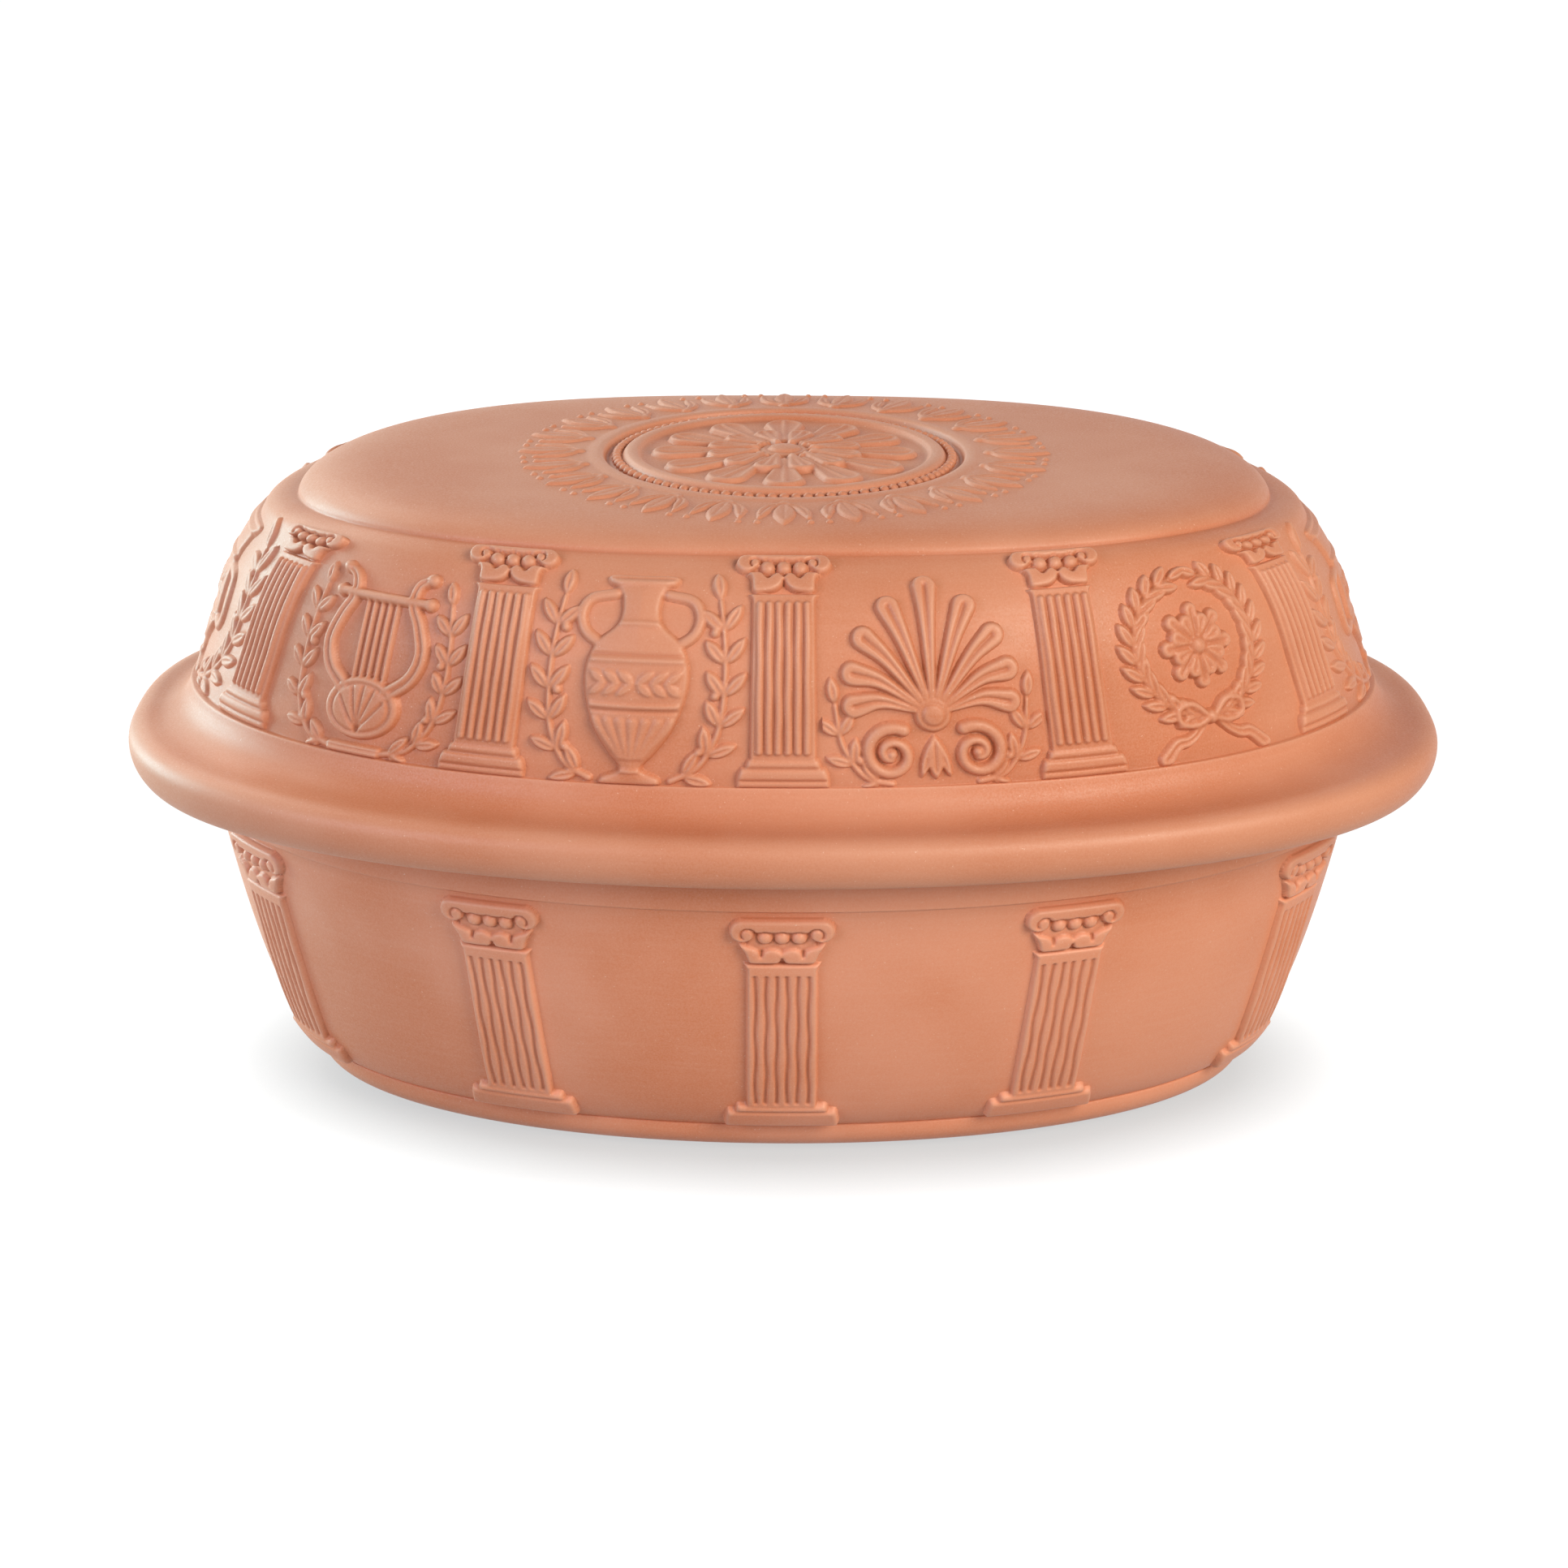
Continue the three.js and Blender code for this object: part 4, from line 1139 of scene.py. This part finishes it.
# Wreath: two bent sprays of laurel tied with a ribbon, round a small rosette.
# A row of its petals is the turn in petals, the share of the reach, and the lift.
wreath = {
    "place": 1.5, "reach": 32, "height": 1.6,
    "centre": (0, 34.5), "radius": 21.5, "arc": (-84, 74), "arcPoints": 9,
    "spray": {
        "pairs": 11, "leaf": (8.8, 3.8), "spread": 30,
        "height": 1.6, "berries": (2, 5, 8), "berryReach": 2.6},
    "petals": 8, "rows": [(0.5, 1, 0), (0, 0.72, 0.35)], "petal": (3.2, 10.4), "petalRadii": (0.8, 2.5),
    "petalEdge": 1.1, "vein": 0.45, "veinDepth": 0.5, "boss": 3.1, "bossLift": 0.9,
    "tail": [(1.5, 12.4), (6, 8.4), (9.6, 6.4), (13.4, 5.8), (18.2, 1.6)], "tailRadii": (1.2, 2.3),
    "tailDrop": 0.2, "tailEdge": 1.0, "crease": 0.4, "creaseDepth": 0.5,
    "loop": [(1, 13), (6, 17.4), (11.2, 16.4), (11, 12.2), (6, 11), (1, 12.6)], "loopRadius": 1.15,
    "loopFull": 0.15, "loopLift": 0.35, "knot": (0, 12.8), "knotRadius": 2.4, "knotLift": 0.7,
}


def wreathField(wreath, x, y):
    mirrored = np.abs(x)
    height = wreath["height"]
    centre = np.array(wreath["centre"])
    angles = np.radians(np.linspace(*wreath["arc"], wreath["arcPoints"]))
    stem = centre + wreath["radius"] * np.stack([np.cos(angles), np.sin(angles)], 1)
    field = sprayField(dict(wreath["spray"], stem=stem), mirrored, y)
    turn = np.arctan2(x - centre[0], y - centre[1])
    away = np.hypot(x - centre[0], y - centre[1])
    root, end = wreath["petal"]
    for shift, reach, lift in wreath["rows"]:
        across, along = petalSector(turn, away, wreath["petals"], shift)
        line = [(0, root), (0, reach * end)]
        petal = insideStroke(across, along, line, wreath["petalRadii"])
        vein = insideStroke(across, along, line, wreath["vein"])
        groove = dome(vein, wreath["vein"], wreath["veinDepth"])
        field = np.maximum(field, rise(petal, height + lift, wreath["petalEdge"]) - groove)
    field = np.maximum(field, ballField(x, y, centre, wreath["boss"], height + wreath["bossLift"]))
    tail = smoothLine(wreath["tail"])
    ribbon = rise(
        insideTaper(mirrored, y, tail, wreath["tailRadii"]), height - wreath["tailDrop"], wreath["tailEdge"])
    crease = insideStroke(mirrored, y, tail, wreath["crease"])
    field = np.maximum(field, ribbon - dome(crease, wreath["crease"], wreath["creaseDepth"]))
    loop = insideStroke(mirrored, y, smoothLine(wreath["loop"]), wreath["loopRadius"]) + wreath["loopFull"]
    field = np.maximum(field, dome(loop, wreath["loopRadius"], height + wreath["loopLift"]))
    knot = ballField(x, y, wreath["knot"], wreath["knotRadius"], height + wreath["knotLift"])
    return np.maximum(field, knot)


# Buds that stand in a ring on the plate: one tall leaf between two that lean away from it.
# The side leaves swell up to one of their points and then taper.
bud = {
    "count": 24, "radius": 63.6, "height": 0.95, "reach": 9.5, "levels": (-2.4, 20.8),
    "cells": (49, 61), "soft": 0.7,
    "side": [(1.2, 1.5), (4.6, 5), (6.4, 10), (7.4, 14.6)], "sideRadii": (0.9, 2.0, 0.5), "sideSwell": 13,
    "sideEdge": 0.9, "vein": 0.4, "veinDepth": 0.5, "veinEnds": 3,
    "leafFoot": (0, 1), "leafTip": (0, 20), "leafWidth": 6.6, "root": (0, 0.6), "rootRadius": 2.0,
    "berry": (7.9, 17.8), "berryRadius": 1.15, "berryShare": 0.9,
}


def budField(bud, x, y):
    mirrored = np.abs(x)
    height = bud["height"]
    side = smoothLine(bud["side"])
    first, middle, last = bud["sideRadii"]
    swell = bud["sideSwell"]
    radii = np.r_[np.linspace(first, middle, swell), np.linspace(middle, last, len(side) - swell)]
    field = rise(insideStroke(mirrored, y, side, radii), height, bud["sideEdge"])
    vein = insideStroke(mirrored, y, side[bud["veinEnds"]:-bud["veinEnds"]], bud["vein"])
    field = field - dome(vein, bud["vein"], bud["veinDepth"])
    field = np.maximum(field, leafField(x, y, bud["leafFoot"], bud["leafTip"], bud["leafWidth"], height))
    field = np.maximum(field, ballField(x, y, bud["root"], bud["rootRadius"], height))
    berry = ballField(mirrored, y, bud["berry"], bud["berryRadius"], bud["berryShare"] * height)
    return np.maximum(field, berry)


# Rosette of the medallion: two rows of petals round a boss with a ring of pearls.
# A row is the root and end of its petals, its turn in petals, the radius of a tip, and its lift.
rosette = {
    "reach": 45, "cells": 201, "soft": 0.7, "height": 1.5, "petals": 12,
    "rows": [(12, 41.5, 0, 6.4, 0), (9, 25, 0.5, 4.4, 0.7)],
    "petalRoot": 1.4, "petalGap": 0.25, "petalEdge": 1.3, "petalBorder": 1,
    "cupInset": 1.6, "cupRound": 4.5, "cupDepth": 0.7,
    "veinRadii": (0.5, 0.8), "veinEnd": 2.6, "veinHeight": 0.55,
    "boss": 8.2, "bossLift": 1.3, "bossLine": 0.66, "bossLineHalf": 0.8, "bossLineDepth": 0.7,
    "pearls": 16, "pearlOut": 1.4, "pearlRadius": 1.3, "pearlLift": 0.9,
}


def rosetteField(rosette, x, y):
    height = rosette["height"]
    turn = np.arctan2(x, y)
    away = np.hypot(x, y)
    slope = math.tan(math.pi / rosette["petals"])
    field = np.zeros(x.shape)
    for root, end, shift, tip, lift in rosette["rows"]:
        across, along = petalSector(turn, away, rosette["petals"], shift + 0.5)
        petal = insideStroke(across, along, [(0, root), (0, end - tip)], [rosette["petalRoot"], tip])
        petal = np.minimum(petal, along * slope - np.abs(across) - rosette["petalGap"])
        cup = dome(petal - rosette["cupInset"], rosette["cupRound"], rosette["cupDepth"])
        veinLine = [(0, root), (0, end - rosette["veinEnd"])]
        vein = insideStroke(across, along, veinLine, rosette["veinRadii"])
        body = rise(petal, height + lift, rosette["petalEdge"]) - cup
        body = body + dome(vein, rosette["veinRadii"][1], rosette["veinHeight"])
        border = np.where(petal > -rosette["petalBorder"], np.maximum(body, field), field)
        field = np.where(petal > 0, np.maximum(body, 0), border)
    boss = rosette["boss"]
    field = np.maximum(field, dome(boss - away, boss, height + rosette["bossLift"]))
    ring = bump(away - rosette["bossLine"] * boss, rosette["bossLineHalf"])
    field = field - rosette["bossLineDepth"] * ring
    across, along = petalSector(turn, away, rosette["pearls"], 0)
    pearl = ballField(across, along, (0, boss + rosette["pearlOut"]), rosette["pearlRadius"],
                      height + rosette["pearlLift"])
    return np.maximum(field, pearl)


# Motifs stand on the line at the foot of the lid's wall, one in each bay, and fade in over a short foot.
bays = {"foot": -0.4, "top": 66, "step": 0.42, "soft": 0.6, "boldness": 1.25, "fadeStart": -0.2, "fade": 0.8}


def bayRelief(name, motif, fieldOf, carrier):
    xs = evenSpan(motif["reach"], bays["step"])
    ys = np.linspace(bays["foot"], bays["top"], int(round(bays["top"] / bays["step"])) + 1)
    x, y = np.meshgrid(xs, ys)
    fade = np.clip((y - bays["fadeStart"]) / bays["fade"], 0, 1)
    field = motif.get("boldness", bays["boldness"]) * fieldOf(motif, x, y) * fade
    flat = reliefMesh(name + "_flat", xs, ys, softField(field, bays["soft"]))
    return layRow(name, flat, carrier, 1, motif.get("place", 0), lidColumn["pitch"], "lid")


# Reliefs of the plate fall on it from a level well above.
dropHeight = 20


def plateRelief(name, flat, count, radius):
    piece = runTree(name, reliefRing, flat, {
        "Plate": lidShell, "Count": count, "Radius": radius * mm, "Above": (lidHigh[2] + dropHeight) * mm,
        "Material": clay["lid"]})
    return dress(piece, "lid")


# A pearl is a small half-sunk ball.
pearls = {
    "count": 92, "ring": 52.6, "radius": 1.6, "flatness": 0.85, "lift": 0.35, "segments": 10, "rings": 6,
}


def pearlMesh(pearl):
    work = bmesh.new()
    bmesh.ops.create_uvsphere(
        work, u_segments=pearl["segments"], v_segments=pearl["rings"], radius=pearl["radius"] * mm)
    bmesh.ops.scale(work, verts=work.verts, vec=(1, 1, pearl["flatness"]))
    bmesh.ops.translate(work, verts=work.verts, vec=(0, 0, pearl["lift"] * mm))
    mesh = bpy.data.meshes.new("pearl")
    work.to_mesh(mesh)
    work.free()
    return mesh


sideReach, endReach = 215, 70
lidWall = wallCarrier("lid_wall", lidField, -math.pi / 2, sideReach)
lidEnd = wallCarrier("lid_end", lidField, 0, endReach)
dishWall = wallCarrier("dish_wall", dishField, -math.pi / 2, sideReach)
columnRow("lid_columns", lidColumn, lidWall, "lid")
columnRow("dish_columns", dishColumn, dishWall, "dish")
bayRelief("lid_lyre", lyre, lyreField, lidWall)
bayRelief("lid_amphora", amphora, jarField, lidWall)
bayRelief("lid_palmette", palmette, palmetteField, lidWall)
bayRelief("lid_wreath", wreath, wreathField, lidWall)
bayRelief("lid_krater", krater, jarField, lidEnd)

budX = np.linspace(-bud["reach"], bud["reach"], bud["cells"][0])
budY = np.linspace(*bud["levels"], bud["cells"][1])
budSoft = softField(budField(bud, *np.meshgrid(budX, budY)), bud["soft"])
plateRelief("lid_buds", reliefMesh("bud_flat", budX, budY, budSoft), bud["count"], bud["radius"])
discX = np.linspace(-rosette["reach"], rosette["reach"], rosette["cells"])
discSoft = softField(rosetteField(rosette, *np.meshgrid(discX, discX)), rosette["soft"])
plateRelief("lid_rosette", reliefMesh("rosette_flat", discX, discX, discSoft), 1, 0)
plateRelief("lid_pearls", pearlMesh(pearls), pearls["count"], pearls["ring"])

for shell, body in ((lidShell, "lid"), (dishShell, "dish")):
    dress(shell, body)
    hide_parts(body)
for carrier in (lidWall, lidEnd, dishWall):
    bpy.data.objects.remove(carrier["wall"])
print("pieces dressed")

# Camera at the photo's angle: a long lens a little above the pot, square to its long side.
camera = {
    "distance": 1177.97, "elevation": 19.17, "target": (0, 0, 92), "roll": 0.254,
    "lens": 83.56, "sensor": 36, "shift": (0.00073, 0.00413), "nearest": 50,
}


def addCamera(view):
    data = bpy.data.cameras.new("camera")
    data.lens = view["lens"]
    data.sensor_width = view["sensor"]
    data.shift_x, data.shift_y = view["shift"]
    data.clip_start = view["nearest"] * mm
    tilt = math.radians(view["elevation"])
    spot = Vector(view["target"]) + Vector((0, -math.cos(tilt), math.sin(tilt))) * view["distance"]
    turn = Matrix.Rotation(math.pi / 2 - tilt, 4, "X") @ Matrix.Rotation(math.radians(view["roll"]), 4, "Z")
    eye = newObject("camera", data)
    eye.matrix_world = Matrix.Translation(spot * mm) @ turn
    bpy.context.scene.camera = eye


addCamera(camera)

# Soft studio light: a warm lamp at the front right, a cool one at the front left, and two behind on the left.
lampTarget = Vector((0, 0, 0.1))
lamps = {
    "rightFront": {"place": (1.0, -1.15, 0.9), "size": 0.9, "power": 26.5, "colour": (1, 0.93, 0.78)},
    "leftFront": {"place": (-1.1, -1.0, 0.6), "size": 0.8, "power": 11, "colour": (0.78, 0.84, 1)},
    "left": {"place": (-1.35, 0.6, 0.42), "size": 0.8, "power": 22, "colour": (0.58, 0.96, 1)},
    "leftHigh": {"place": (-0.9, 1.0, 1.0), "size": 1.0, "power": 9, "colour": (1, 0.97, 0.87)},
}
for label, lamp in lamps.items():
    light = bpy.data.lights.new(label, "AREA")
    light.shape = "SQUARE"
    light.size = lamp["size"]
    light.energy = lamp["power"]
    light.color = lamp["colour"]
    stand = newObject(label, light)
    stand.location = lamp["place"]
    stand.rotation_euler = (lampTarget - Vector(lamp["place"])).to_track_quat("-Z", "Y").to_euler()


# White all round for the camera, and a plain level of light for everything else.
def seenByCamera(tree):
    rays = addNode(tree, "ShaderNodeLightPath").outputs
    glossy = addNode(tree, "ShaderNodeMath", {"operation": "MAXIMUM"}, {
        0: rays["Is Camera Ray"], 1: rays["Is Glossy Ray"]}).outputs[0]
    return addNode(tree, "ShaderNodeMath", {"operation": "MAXIMUM"}, {
        0: glossy, 1: rays["Is Transmission Ray"]}).outputs[0]


surround = {
    "ambient": 0.015, "floor": "b4b4b4", "floorSeen": "606060", "floorRoughness": 0.9, "floorSpecular": 0.1,
    "floorReach": 6000, "floorGlow": 0.95, "glowReach": (250, 700),
    "shadowReach": 32, "shadow": (0.3, 0.95), "shadowDepth": 0.62,
}
white = (1, 1, 1, 1)
world = bpy.data.worlds.new("studio")
world.use_nodes = True
bpy.context.scene.world = world
strength = addNode(world.node_tree, "ShaderNodeMapRange", {}, {
    "Value": seenByCamera(world.node_tree), "To Min": surround["ambient"], "To Max": 1})
background = world.node_tree.nodes["Background"]
background.inputs["Color"].default_value = white
world.node_tree.links.new(strength.outputs["Result"], background.inputs["Strength"])

# A white sweep: near the pot it keeps the lamps' shadow, and an occlusion mask dims its glow there into a
# painted shadow; further out it turns into the white surround.
floorMaterial = bpy.data.materials.new("white_sweep")
floorMaterial.use_nodes = True
floorTree = floorMaterial.node_tree
floorShader = floorTree.nodes["Principled BSDF"]
floorShader.inputs["Roughness"].default_value = surround["floorRoughness"]
floorShader.inputs["Specular IOR Level"].default_value = surround["floorSpecular"]
floorShader.inputs["Emission Color"].default_value = white
seen = seenByCamera(floorTree)
floorColour = addNode(floorTree, "ShaderNodeMix", {"data_type": "RGBA"}, {
    "Factor": seen, "A": linear(surround["floor"]), "B": linear(surround["floorSeen"])})
floorTree.links.new(floorColour.outputs["Result"], floorShader.inputs["Base Color"])
# Painted shadow: the floor's glow is dimmed where little open sky is seen near the pot.
openSky = addNode(floorTree, "ShaderNodeAmbientOcclusion", {}, {
    "Distance": surround["shadowReach"] * mm}).outputs["AO"]
shade = addNode(floorTree, "ShaderNodeMapRange", {}, {
    "Value": openSky, "From Min": surround["shadow"][0], "From Max": surround["shadow"][1],
    "To Min": surround["shadowDepth"], "To Max": 1})
floorPlace = addNode(floorTree, "ShaderNodeTexCoord").outputs["Object"]
away = addNode(floorTree, "ShaderNodeVectorMath", {"operation": "LENGTH"}, {0: floorPlace}).outputs["Value"]
glowHere = addNode(floorTree, "ShaderNodeMapRange", {"interpolation_type": "SMOOTHSTEP"}, {
    "Value": away, "From Min": surround["glowReach"][0] * mm, "From Max": surround["glowReach"][1] * mm,
    "To Min": surround["floorGlow"], "To Max": 1})
shaded = addNode(floorTree, "ShaderNodeMath", {"operation": "MULTIPLY"}, {0: shade, 1: glowHere})
glow = addNode(floorTree, "ShaderNodeMath", {"operation": "MULTIPLY"}, {0: seen, 1: shaded})
floorTree.links.new(glow.outputs[0], floorShader.inputs["Emission Strength"])
reach = surround["floorReach"]
floorCorners = [(-reach, -reach, 0), (reach, -reach, 0), (reach, reach, 0), (-reach, reach, 0)]
floor = newObject("floor", newMesh("floor", floorCorners, [(0, 1, 2, 3)]))
floor.data.materials.append(floorMaterial)

bpy.context.scene.view_settings.view_transform = "Standard"
print("stage lit")
